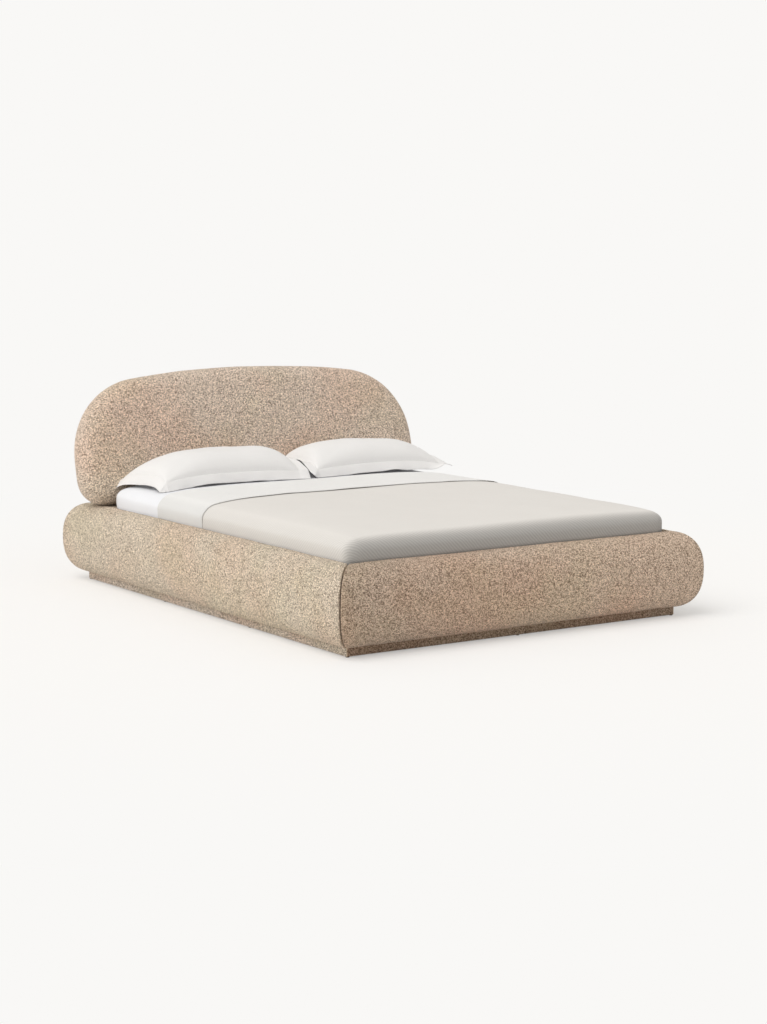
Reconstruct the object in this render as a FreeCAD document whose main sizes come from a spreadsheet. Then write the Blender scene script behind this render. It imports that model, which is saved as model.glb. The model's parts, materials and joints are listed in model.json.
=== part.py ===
import FreeCAD, Part
import Sketcher
import math
import os
import re
from types import SimpleNamespace

# Upholstered bed, dressed: bullnose rails on a recessed plinth, a pebble-shaped headboard that
# leans back, a slatted base, a mattress with its bedding, and two pillows.
# Frame: millimetres, +Z up, +Y towards the headboard, origin on the floor at the bed's centre.

doc = FreeCAD.newDocument("UpholsteredBed")

# ------------------------------------------------------------------ driving dimensions

SIZES = [
    # name, value, meaning
    ("rail_depth", 110, "nose to inner face of a rail"),
    ("rail_height", 310, "underside to top of a rail"),
    ("rail_nose_radius", 80, "upper and lower arcs of the bullnose"),
    ("rail_board_thickness", 18, "plywood board inside a rail"),
    ("rail_board_edge", 12, "foam over the upper and lower edges of the board"),
    ("cover_thickness", 3, "boucle fabric with its lining"),
    ("cover_return", 30, "fabric turned onto a rail's inner face"),
    ("plinth_height", 50, "floor to underside of the rails"),
    ("plinth_inset", 90, "rail nose to plinth face"),
    ("plinth_board_thickness", 16, "board of the plinth"),
    ("glide_height", 4, "felt glide on the floor"),
    ("glide_radius", 7, "felt glide under the plinth"),
    ("bracket_length", 90, "leg of a corner bracket"),
    ("bracket_height", 55, "height of a corner bracket"),
    ("bracket_thickness", 4, "steel of the corner brackets"),
    ("bracket_level", 85, "floor to underside of a corner bracket"),
    ("bolt_radius", 3.5, "shank of the frame bolts"),
    ("bolt_hole_clearance", 0.5, "hole radius less shank radius"),
    ("bolt_head_radius", 8, "head of the frame bolts"),
    ("bolt_head_height", 5, "head of the frame bolts"),
    ("bolt_bite", 14, "length of shank in the timber"),
    ("bearer_width", 30, "slat bearer across the bed"),
    ("bearer_height", 40, "slat bearer"),
    ("bearer_screw_radius", 2.5, "shank of the bearer screws"),
    ("bearer_screw_margin", 150, "bearer end to first screw"),
    ("beam_width", 45, "centre beam"),
    ("beam_height", 70, "centre beam"),
    ("hanger_thickness", 3, "steel of the beam hangers"),
    ("hanger_reach", 50, "length of beam held in a hanger"),
    ("hanger_clearance", 0.5, "hanger side to beam side"),
    ("leg_radius", 22, "centre leg"),
    ("leg_spacing", 850, "between the two centre legs"),
    ("leg_plate_side", 76, "square plate on top of a centre leg"),
    ("leg_plate_thickness", 4, "plate on top of a centre leg"),
    ("slat_width", 80, "slat along the bed"),
    ("slat_thickness", 20, "slat"),
    ("slat_side_gap", 4, "slat end to rail board"),
    ("tape_width", 25, "webbing that spaces the slats"),
    ("tape_thickness", 1.5, "webbing that spaces the slats"),
    ("tape_spacing", 1150, "between the two webbing tapes"),
    ("mattress_width", 1600, "mattress"),
    ("mattress_length", 2000, "mattress"),
    ("mattress_height", 230, "mattress"),
    ("mattress_round", 70, "rounded edges of the mattress"),
    ("mattress_side_gap", 10, "mattress to a side rail"),
    ("mattress_foot_gap", 5, "mattress to foot rail and to head deck"),
    ("mattress_rise", 110, "top of the rails to top of the mattress"),
    ("sheet_thickness", 2, "fitted sheet"),
    ("sheet_turn_under", 120, "fitted sheet turned under the mattress"),
    ("bedcover_thickness", 3, "bedcover cloth"),
    ("bedcover_drop", 150, "bedcover below the mattress top, at the sides and foot"),
    ("fold_from_head", 435, "mattress head end to the bedcover's folded edge"),
    ("fold_width", 410, "turned-back end of the bedcover"),
    ("deck_board_thickness", 18, "board of the head deck"),
    ("deck_pad_thickness", 23, "upholstered pad of the head deck"),
    ("head_deck_depth", 215, "mattress's gap to the head rail"),
    ("deck_gap", 2, "head deck to the pieces round it"),
    ("deck_bearer_thickness", 25, "bearer under the head deck"),
    ("deck_bearer_height", 175, "bearer under the head deck"),
    ("headboard_overhang", 6, "headboard at its widest, past the side rail's nose"),
    ("headboard_rise", 627, "headboard along its slope"),
    ("headboard_thickness", 160, "headboard with its upholstery"),
    ("headboard_edge_radius", 77, "rounded edge of the headboard"),
    ("headboard_base_radius", 120, "lower corners of the outline"),
    ("headboard_side_radius", 5000, "sides of the outline"),
    ("headboard_shoulder_radius", 369, "upper corners of the outline"),
    ("headboard_crown_radius", 5090, "top of the outline"),
    ("headboard_lean", 13, "lean from upright, degrees"),
    ("headboard_front_gap", 7, "mattress to headboard face at the deck"),
    ("core_thickness", 18, "plywood core of the headboard"),
    ("core_inset", 62, "headboard outline to core outline"),
    ("strap_width", 60, "steel strap"),
    ("strap_thickness", 8, "steel strap"),
    ("strap_spacing", 900, "between the two straps"),
    ("strap_up", 380, "strap above the deck, along the slope"),
    ("strap_down", 210, "strap below the deck"),
    ("strap_slot_gap", 3, "strap to the slot that it passes"),
    ("strap_bolt_drop", 70, "deck to the upper strap bolt"),
    ("strap_bolt_spacing", 90, "between the two bolts of a strap"),
    ("pillow_width", 680, "pillow filling"),
    ("pillow_depth", 330, "pillow filling"),
    ("pillow_height", 150, "pillow filling"),
    ("pillow_tilt", 9, "pillow front down, back up, degrees"),
    ("pillow_flange", 50, "flat border of the pillowcase"),
    ("pillowcase_thickness", 1.5, "pillowcase cloth"),
    ("pillow_gap", 20, "between the two pillowcases"),
    ("pillow_shift", 35, "middle of the bed to middle of the pair of pillows"),
    ("pillow_back_gap", 168, "front of the head deck to pillow centre"),
    ("pillow_lift", 66, "mattress top to pillow centre"),
]
SLAT_COUNT = 14
SCREWS_PER_BEARER = 5
GLIDES_PER_SIDE = 4

sheet = doc.addObject("Spreadsheet::Sheet", "Sizes")
for row, (name, number, meaning) in enumerate(SIZES, start=1):
    sheet.set(f"A{row}", name)
    sheet.set(f"B{row}", str(number))
    sheet.set(f"C{row}", meaning)
    sheet.setAlias(f"B{row}", name)
doc.recompute()
NAMES = {name for name, _, _ in SIZES}
size = SimpleNamespace(**{name: float(sheet.get(name)) for name in NAMES})


def bound(formula):
    """The formula with each size name pointing at its cell in the sheet."""
    return re.sub(r"\b[a-z_]+\b", lambda word: f"Sizes.{word[0]}" if word[0] in NAMES else word[0], formula)


# Levels and faces that several pieces share, as formulas of the sizes.
INNER_X = "(mattress_width / 2 + mattress_side_gap)"
INNER_Y = "((mattress_foot_gap + mattress_length + head_deck_depth) / 2)"
HALF_WIDTH = f"({INNER_X} + rail_depth)"
HALF_LENGTH = f"({INNER_Y} + rail_depth)"
RAIL_TOP = "(plinth_height + rail_height)"
BOARD_X = f"({INNER_X} + cover_thickness)"
BOARD_Y = f"({INNER_Y} + cover_thickness)"
MATTRESS_FOOT = f"(mattress_foot_gap - {INNER_Y})"
MATTRESS_HEAD = f"({MATTRESS_FOOT} + mattress_length)"
MATTRESS_TOP = f"({RAIL_TOP} + mattress_rise)"
MATTRESS_LOW = f"({MATTRESS_TOP} - mattress_height)"
SLAT_TOP = f"({MATTRESS_LOW} - sheet_thickness)"
SLAT_LOW = f"({SLAT_TOP} - slat_thickness)"
BEAM_LOW = f"({SLAT_LOW} - beam_height)"
DECK_FRONT = f"({MATTRESS_HEAD} + mattress_foot_gap)"
DECK_TOP = f"({RAIL_TOP} - deck_gap)"
DECK_BOARD_TOP = f"({DECK_TOP} - deck_pad_thickness)"
DECK_BOARD_LOW = f"({DECK_BOARD_TOP} - deck_board_thickness)"
HEADBOARD_MIDDLE = (f"({MATTRESS_HEAD} + headboard_front_gap"
                    " + headboard_thickness / 2 / cos(headboard_lean * 1deg))")
BEARER_FRONT = f"({HEADBOARD_MIDDLE} + strap_thickness)"
# A leaning slab's rounded foot dips below its pivot, so the pivot is that much above the rails.
HEADBOARD_FOOT = (f"({RAIL_TOP} + headboard_edge_radius * (1 - cos(headboard_lean * 1deg))"
                  " + (headboard_thickness / 2 - headboard_edge_radius) * sin(headboard_lean * 1deg))")
LEAN = FreeCAD.Rotation(FreeCAD.Vector(1, 0, 0), -size.headboard_lean)
UPRIGHT = FreeCAD.Rotation()

half_width = size.mattress_width / 2 + size.mattress_side_gap + size.rail_depth
half_length = (size.mattress_foot_gap + size.mattress_length + size.head_deck_depth) / 2 + size.rail_depth

pieces = {}


def keep(label, thing):
    """Give a finished piece its label and list it for the hand-over."""
    thing.Label = label
    pieces[label] = thing
    return thing


def place(thing, x="0", y="0", z="0", turn=UPRIGHT):
    """Set an object's placement from formulas and a fixed turn."""
    thing.Placement = FreeCAD.Placement(FreeCAD.Vector(0, 0, 0), turn)
    for axis, formula in zip("xyz", (x, y, z)):
        thing.setExpression(f"Placement.Base.{axis}", bound(formula))
    return thing


# ------------------------------------------------------------------ plain solids

def box(name, x, y, z, turn=UPRIGHT):
    """A box between two formulas on each axis; with a turn, it turns about its low corner."""
    block = doc.addObject("Part::Box", name)
    for prop, (low, high) in zip(("Length", "Width", "Height"), (x, y, z)):
        block.setExpression(prop, bound(f"({high}) - ({low})"))
    return place(block, x[0], y[0], z[0], turn)


def cylinder(name, radius, height, x, y, z, turn=UPRIGHT):
    """A cylinder that rises from its base point along the turned Z axis."""
    rod = doc.addObject("Part::Cylinder", name)
    rod.setExpression("Radius", bound(radius))
    rod.setExpression("Height", bound(height))
    return place(rod, x, y, z, turn)


def cut(name, base, *tools):
    """The base less each tool in turn."""
    for number, tool in enumerate(tools):
        result = doc.addObject("Part::Cut", f"{name}_{number}" if number < len(tools) - 1 else name)
        result.Base = base
        result.Tool = tool
        base = result
    return base


def joined(name, *members):
    """One solid from several that overlap."""
    result = doc.addObject("Part::MultiFuse", name)
    result.Shapes = list(members)
    return result


def common(name, first, second):
    """What two solids share."""
    result = doc.addObject("Part::Common", name)
    result.Base = first
    result.Tool = second
    return result


def group(name, members):
    """Separate solids kept together as one piece."""
    result = doc.addObject("Part::Compound", name)
    result.Links = members
    return result


# ------------------------------------------------------------------ sketched solids

def new_body(name):
    return doc.addObject("PartDesign::Body", name)


def new_sketch(body, name, role):
    """A sketch on one of the body's own origin planes."""
    sketch = body.newObject("Sketcher::SketchObject", name)
    plane = next(item for item in body.Origin.OriginFeatures if item.Role == role)
    sketch.AttachmentSupport = [(plane, "")]
    sketch.MapMode = "FlatFace"
    return sketch


def rule(sketch, formula, *where):
    """A constraint whose value is a formula of the sizes."""
    index = sketch.addConstraint(Sketcher.Constraint(*where))
    sketch.setExpression(f"Constraints[{index}]", bound(formula))


def polygon(sketch, corners):
    """A closed outline of straight lines whose corners sit at pairs of formulas."""
    first = sketch.GeometryCount
    count = len(corners)
    rough = [FreeCAD.Vector(math.cos(2 * math.pi * number / count) * size.rail_depth,
                            math.sin(2 * math.pi * number / count) * size.rail_depth, 0)
             for number in range(count + 1)]
    for start, end in zip(rough, rough[1:]):
        sketch.addGeometry(Part.LineSegment(start, end))
    for number, (across, up) in enumerate(corners):
        line = first + number
        following = first + (number + 1) % count
        sketch.addConstraint(Sketcher.Constraint("Coincident", line, 2, following, 1))
        rule(sketch, across, "DistanceX", -1, 1, line, 1, 10.0)
        rule(sketch, up, "DistanceY", -1, 1, line, 1, 10.0)


def rectangle(sketch, across, up):
    polygon(sketch, [(across[0], up[0]), (across[1], up[0]), (across[1], up[1]), (across[0], up[1])])


def arc(sketch, centre, radius, start, end):
    """An anticlockwise arc between two angles in radians."""
    circle = Part.Circle(FreeCAD.Vector(centre[0], centre[1], 0), FreeCAD.Vector(0, 0, 1), radius)
    return sketch.addGeometry(Part.ArcOfCircle(circle, start, end))


def pad(body, sketch, length):
    """Extrude a sketch by a formula, half to each side of its plane."""
    feature = body.newObject("PartDesign::Pad", f"{body.Name}_pad")
    feature.Profile = sketch
    feature.SideType = "Symmetric"
    feature.setExpression("Length", bound(length))
    body.Tip = feature
    return feature


def pocket(body, sketch):
    """Cut a sketch right through, to both sides of its plane."""
    feature = body.newObject("PartDesign::Pocket", f"{sketch.Name}_cut")
    feature.Profile = sketch
    feature.Type = "ThroughAll"
    feature.SideType = "Symmetric"
    body.Tip = feature
    return feature


def round_edges(body, feature, edges, radius):
    """Fillet the named edges, or every edge when none is named."""
    fillet = body.newObject("PartDesign::Fillet", f"{body.Name}_round")
    fillet.Base = (feature, edges)
    fillet.UseAllEdges = not edges
    fillet.setExpression("Radius", bound(radius))
    body.Tip = fillet
    return fillet


# ------------------------------------------------------------------ rails

MITRE_OVERRUN = 20


def mitre(body, run, reach, depth):
    """Cut both ends of a rail-like body at 45 degrees, from its outer corners inwards."""
    sketch = new_sketch(body, f"{body.Name}_mitre", "XY_Plane")
    past = f"({depth} + {MITRE_OVERRUN})"
    for side in ("", "-"):
        polygon(sketch, [(f"{side}({run} / 2 + {MITRE_OVERRUN})", f"-({reach}) - {MITRE_OVERRUN}"),
                         (f"{side}({run} / 2 + {MITRE_OVERRUN})", f"-({reach}) + {past}"),
                         (f"{side}({run} / 2 - {past})", f"-({reach}) + {past}")])
    pocket(body, sketch)


def bullnose(sketch, reach, inset, reach_now):
    """The D-shaped section of a rail, its nose pointing to minus across; inset shrinks it."""
    depth = f"(rail_depth - 2 * {inset})"
    half = f"(rail_height / 2 - {inset})"
    nose = f"(rail_nose_radius - {inset})"
    side = f"(({depth} * {depth} + {half} * {half} - 2 * {half} * {nose}) / (2 * ({depth} - {nose})))"
    shrink = 0 if inset == "0" else size.cover_thickness
    deep = size.rail_depth - 2 * shrink
    tall = size.rail_height / 2 - shrink
    small = size.rail_nose_radius - shrink
    big = (deep ** 2 + tall ** 2 - 2 * tall * small) / (2 * (deep - small))
    back = -reach_now + size.rail_depth - shrink
    middle = size.plinth_height + size.rail_height / 2
    turn = math.atan2(tall - small, deep - big)
    line = sketch.addGeometry(Part.LineSegment(FreeCAD.Vector(back, middle - tall, 0),
                                               FreeCAD.Vector(back, middle + tall, 0)))
    upper = arc(sketch, (back, middle + tall - small), small, math.pi / 2, turn)
    front = arc(sketch, (back - deep + big, middle), big, turn, 2 * math.pi - turn)
    lower = arc(sketch, (back, middle - tall + small), small, 2 * math.pi - turn, 1.5 * math.pi)
    for parts in (("Vertical", line), ("Coincident", line, 2, upper, 1), ("Coincident", line, 1, lower, 2),
                  ("Tangent", upper, 2, front, 1), ("Tangent", front, 2, lower, 1),
                  ("Vertical", upper, 3, upper, 1), ("Vertical", lower, 3, lower, 2),
                  ("Equal", upper, lower)):
        sketch.addConstraint(Sketcher.Constraint(*parts))
    rule(sketch, nose, "Radius", upper, small)
    rule(sketch, side, "Radius", front, big)
    rule(sketch, f"rail_depth - {inset} - ({reach})", "DistanceX", -1, 1, line, 1, back)
    rule(sketch, f"plinth_height + {inset}", "DistanceY", -1, 1, line, 1, middle - tall)
    rule(sketch, f"{RAIL_TOP} - {inset}", "DistanceY", -1, 1, line, 2, middle + tall)


def rail(side, turn, run, reach, reach_now):
    """Board, foam and cover of one rail, drawn as the foot rail and turned to its side."""
    turned = FreeCAD.Rotation(FreeCAD.Vector(0, 0, 1), turn)
    board_across = (f"rail_depth - cover_thickness - rail_board_thickness - ({reach})",
                    f"rail_depth - cover_thickness - ({reach})")
    board_up = ("plinth_height + cover_thickness + rail_board_edge",
                f"{RAIL_TOP} - cover_thickness - rail_board_edge")

    board = new_body(f"{side}_board")
    outline = new_sketch(board, f"{side}_board_section", "YZ_Plane")
    rectangle(outline, board_across, board_up)
    pad(board, outline, run)
    mitre(board, run, reach, "rail_depth")

    foam = new_body(f"{side}_foam")
    outline = new_sketch(foam, f"{side}_foam_section", "YZ_Plane")
    bullnose(outline, reach, "cover_thickness", reach_now)
    pad(foam, outline, run)
    recess = new_sketch(foam, f"{side}_foam_recess", "YZ_Plane")
    rectangle(recess, (board_across[0], f"{board_across[1]} + 1"), board_up)
    pocket(foam, recess)
    mitre(foam, run, reach, "rail_depth")

    cover = new_body(f"{side}_cover")
    outline = new_sketch(cover, f"{side}_cover_section", "YZ_Plane")
    bullnose(outline, reach, "0", reach_now)
    pad(cover, outline, run)
    hollow = new_sketch(cover, f"{side}_cover_hollow", "YZ_Plane")
    bullnose(hollow, reach, "cover_thickness", reach_now)
    pocket(cover, hollow)
    window = new_sketch(cover, f"{side}_cover_window", "YZ_Plane")
    rectangle(window, (f"rail_depth - 2 * cover_thickness - ({reach})", f"rail_depth + 1 - ({reach})"),
              ("plinth_height + cover_return", f"{RAIL_TOP} - cover_return"))
    pocket(cover, window)
    mitre(cover, run, reach, "rail_depth")

    for thing, kind in ((board, "board"), (foam, "foam"), (cover, "cover")):
        thing.Placement = FreeCAD.Placement(FreeCAD.Vector(0, 0, 0), turned)
        keep(f"{side}_rail_{kind}", thing)


rail("foot", 0, f"(2 * {HALF_WIDTH})", HALF_LENGTH, half_length)
rail("right", 90, f"(2 * {HALF_LENGTH})", HALF_WIDTH, half_width)
rail("head", 180, f"(2 * {HALF_WIDTH})", HALF_LENGTH, half_length)
rail("left", 270, f"(2 * {HALF_LENGTH})", HALF_WIDTH, half_width)


# ------------------------------------------------------------------ plinth and glides

def plinth_board(side, turn, run, reach):
    """One mitred board of the plinth, inside the fabric wrap."""
    inset = "(plinth_inset + cover_thickness)"
    board = new_body(f"{side}_plinth")
    outline = new_sketch(board, f"{side}_plinth_section", "YZ_Plane")
    rectangle(outline, (f"{inset} - ({reach})", f"{inset} + plinth_board_thickness - ({reach})"),
              ("glide_height", "plinth_height"))
    pad(board, outline, f"{run} - 2 * {inset}")
    mitre(board, f"({run} - 2 * {inset})", f"({reach} - {inset})", "plinth_board_thickness")
    board.Placement = FreeCAD.Placement(FreeCAD.Vector(0, 0, 0),
                                        FreeCAD.Rotation(FreeCAD.Vector(0, 0, 1), turn))
    keep(f"plinth_board_{side}", board)


plinth_board("foot", 0, f"(2 * {HALF_WIDTH})", HALF_LENGTH)
plinth_board("right", 90, f"(2 * {HALF_LENGTH})", HALF_WIDTH)
plinth_board("head", 180, f"(2 * {HALF_WIDTH})", HALF_LENGTH)
plinth_board("left", 270, f"(2 * {HALF_LENGTH})", HALF_WIDTH)


def plinth_box(name, inset):
    edge_x = f"({HALF_WIDTH} - plinth_inset - {inset})"
    edge_y = f"({HALF_LENGTH} - plinth_inset - {inset})"
    return box(name, (f"-{edge_x}", edge_x), (f"-{edge_y}", edge_y), ("glide_height", "plinth_height"))


keep("plinth_wrap", cut("plinth_wrap", plinth_box("wrap_outside", "0"),
                        plinth_box("wrap_inside", "cover_thickness")))

GLIDE_INSET = "(plinth_inset + cover_thickness + plinth_board_thickness / 2)"
glides = []
for number in range(GLIDES_PER_SIDE):
    along = f"({number} / {GLIDES_PER_SIDE - 1} - 0.5)"
    for hand in ("", "-"):
        glides.append(cylinder(f"side_glide_{len(glides)}", "glide_radius", "glide_height",
                               f"{hand}({HALF_WIDTH} - {GLIDE_INSET})",
                               f"{along} * 2 * ({HALF_LENGTH} - {GLIDE_INSET})", "0"))
for hand in ("", "-"):
    glides.append(cylinder(f"end_glide_{len(glides)}", "glide_radius", "glide_height",
                           "0", f"{hand}({HALF_LENGTH} - {GLIDE_INSET})", "0"))
    glides.append(cylinder(f"leg_glide_{len(glides)}", "leg_radius - 2", "glide_height",
                           "0", f"{hand}leg_spacing / 2", "0"))
keep("floor_glides", group("floor_glides", glides))

# ------------------------------------------------------------------ corner brackets and bolts

HOLE_PLACES = ("0.35", "0.75")
TO_Y = FreeCAD.Rotation(FreeCAD.Vector(1, 0, 0), -90)
TO_MINUS_Y = FreeCAD.Rotation(FreeCAD.Vector(1, 0, 0), 90)
TO_X = FreeCAD.Rotation(FreeCAD.Vector(0, 1, 0), 90)
TO_MINUS_X = FreeCAD.Rotation(FreeCAD.Vector(0, 1, 0), -90)


def bracket(label, x, y, turn):
    """A steel angle with two bolt holes in each leg, in the corner of two rail boards."""
    body = new_body(label)
    outline = new_sketch(body, f"{label}_angle", "XY_Plane")
    polygon(outline, [("0", "0"), ("bracket_length", "0"), ("bracket_length", "bracket_thickness"),
                      ("bracket_thickness", "bracket_thickness"), ("bracket_thickness", "bracket_length"),
                      ("0", "bracket_length")])
    pad(body, outline, "bracket_height")
    for role in ("XZ_Plane", "YZ_Plane"):
        holes = new_sketch(body, f"{label}_{role[:2]}_holes", role)
        for place_now in HOLE_PLACES:
            centre = FreeCAD.Vector(float(place_now) * size.bracket_length, 0, 0)
            circle = holes.addGeometry(Part.Circle(centre, FreeCAD.Vector(0, 0, 1), size.bolt_radius))
            rule(holes, "bolt_radius + bolt_hole_clearance", "Radius", circle, size.bolt_radius)
            rule(holes, f"{place_now} * bracket_length", "DistanceX", -1, 1, circle, 3, 10.0)
            holes.addConstraint(Sketcher.Constraint("PointOnObject", circle, 3, -1))
        pocket(body, holes)
    place(body, x, y, "bracket_level + bracket_height / 2",
          FreeCAD.Rotation(FreeCAD.Vector(0, 0, 1), turn))
    keep(label, body)


def bolt(name, x, y, z, turn, plate):
    """A bolt whose head bears on a plate and whose shank goes through it into timber."""
    head = cylinder(f"{name}_head", "bolt_head_radius", "bolt_head_height", x, y, z, turn)
    shank = cylinder(f"{name}_shank", "bolt_radius",
                     f"bolt_head_height + {plate} + bolt_bite", x, y, z, turn)
    return joined(name, head, shank)


CORNERS = [("left_foot", "-", "-", 0), ("right_foot", "", "-", 90),
           ("right_head", "", "", 180), ("left_head", "-", "", 270)]
bolts = []
for corner, across, along, turn in CORNERS:
    bracket(f"{corner}_bracket", f"{across}{BOARD_X}", f"{along}{BOARD_Y}", turn)
    stand_off = "(bracket_thickness + bolt_head_height)"
    for spot in HOLE_PLACES:
        bolts.append(bolt(f"{corner}_bolt_{len(bolts)}", f"{across}({BOARD_X} - {spot} * bracket_length)",
                          f"{along}({BOARD_Y} - {stand_off})", "bracket_level + bracket_height / 2",
                          TO_MINUS_Y if along else TO_Y, "bracket_thickness"))
        bolts.append(bolt(f"{corner}_bolt_{len(bolts)}", f"{across}({BOARD_X} - {stand_off})",
                          f"{along}({BOARD_Y} - {spot} * bracket_length)",
                          "bracket_level + bracket_height / 2",
                          TO_MINUS_X if across else TO_X, "bracket_thickness"))
keep("corner_bolts", group("corner_bolts", bolts))

# ------------------------------------------------------------------ slat bearers, beam and legs

screws = []
for side, hand, turn in (("left", "-", TO_MINUS_X), ("right", "", TO_X)):
    inner = f"({hand}({BOARD_X} - bearer_width))"
    outer = f"({hand}{BOARD_X})"
    low_x, high_x = (outer, inner) if hand else (inner, outer)
    keep(f"slat_bearer_{side}", box(f"slat_bearer_{side}", (low_x, high_x),
                                    (f"-{BOARD_Y}", MATTRESS_HEAD),
                                    (f"{SLAT_LOW} - bearer_height", SLAT_LOW)))
    for number in range(SCREWS_PER_BEARER):
        start = f"(bearer_screw_margin - {BOARD_Y})"
        span = f"({MATTRESS_HEAD} - bearer_screw_margin - {start})"
        screws.append(cylinder(f"bearer_screw_{len(screws)}", "bearer_screw_radius",
                               "bearer_width + bolt_bite", inner,
                               f"{start} + {span} * {number} / {SCREWS_PER_BEARER - 1}",
                               f"{SLAT_LOW} - bearer_height / 2", turn))
keep("bearer_screws", group("bearer_screws", screws))

BEAM_X = ("-beam_width / 2", "beam_width / 2")
keep("centre_beam", box("centre_beam", BEAM_X, (f"-{BOARD_Y}", BEARER_FRONT), (BEAM_LOW, SLAT_LOW)))


def hanger(name, near, far):
    """A steel cup, fixed at one end of the beam, that the beam's end sits in."""
    half = "(beam_width / 2 + hanger_clearance)"
    shell = box(f"{name}_outside", (f"-{half} - hanger_thickness", f"{half} + hanger_thickness"),
                (near, far), (f"{BEAM_LOW} - hanger_thickness", SLAT_LOW))
    room = box(f"{name}_inside", (f"-{half}", half), (f"{near} - 1", f"{far} + 1"),
               (BEAM_LOW, f"{SLAT_LOW} + 1"))
    return cut(name, shell, room)


keep("beam_hangers", group("beam_hangers", [
    hanger("hanger_foot", f"-{BOARD_Y}", f"hanger_reach - {BOARD_Y}"),
    hanger("hanger_head", f"{BEARER_FRONT} - hanger_reach", BEARER_FRONT)]))

for end, hand in (("foot", "-"), ("head", "")):
    centre = f"({hand}leg_spacing / 2)"
    post = cylinder(f"leg_post_{end}", "leg_radius", f"{BEAM_LOW} - glide_height",
                    "0", centre, "glide_height")
    plate = box(f"leg_plate_{end}", ("-leg_plate_side / 2", "leg_plate_side / 2"),
                (f"{centre} - leg_plate_side / 2", f"{centre} + leg_plate_side / 2"),
                (f"{BEAM_LOW} - leg_plate_thickness", BEAM_LOW))
    keep(f"centre_leg_{end}", joined(f"centre_leg_{end}", post, plate))

# ------------------------------------------------------------------ slats

SLAT_END = f"({BOARD_X} - slat_side_gap)"
SLAT_STEP = f"((mattress_length - slat_width) / {SLAT_COUNT - 1})"
for number in range(SLAT_COUNT):
    start = f"({MATTRESS_FOOT} + {SLAT_STEP} * {number})"
    keep(f"slat_{number + 1:02d}", box(f"slat_{number + 1:02d}", (f"-{SLAT_END}", SLAT_END),
                                       (start, f"{start} + slat_width"), (SLAT_LOW, SLAT_TOP)))

tapes = []
for hand in ("-", ""):
    middle = f"({hand}tape_spacing / 2)"
    tapes.append(box(f"tape_{len(tapes)}", (f"{middle} - tape_width / 2", f"{middle} + tape_width / 2"),
                     (MATTRESS_FOOT, MATTRESS_HEAD), (f"{SLAT_LOW} - tape_thickness", SLAT_LOW)))
keep("slat_tapes", group("slat_tapes", tapes))

# ------------------------------------------------------------------ headboard

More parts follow.
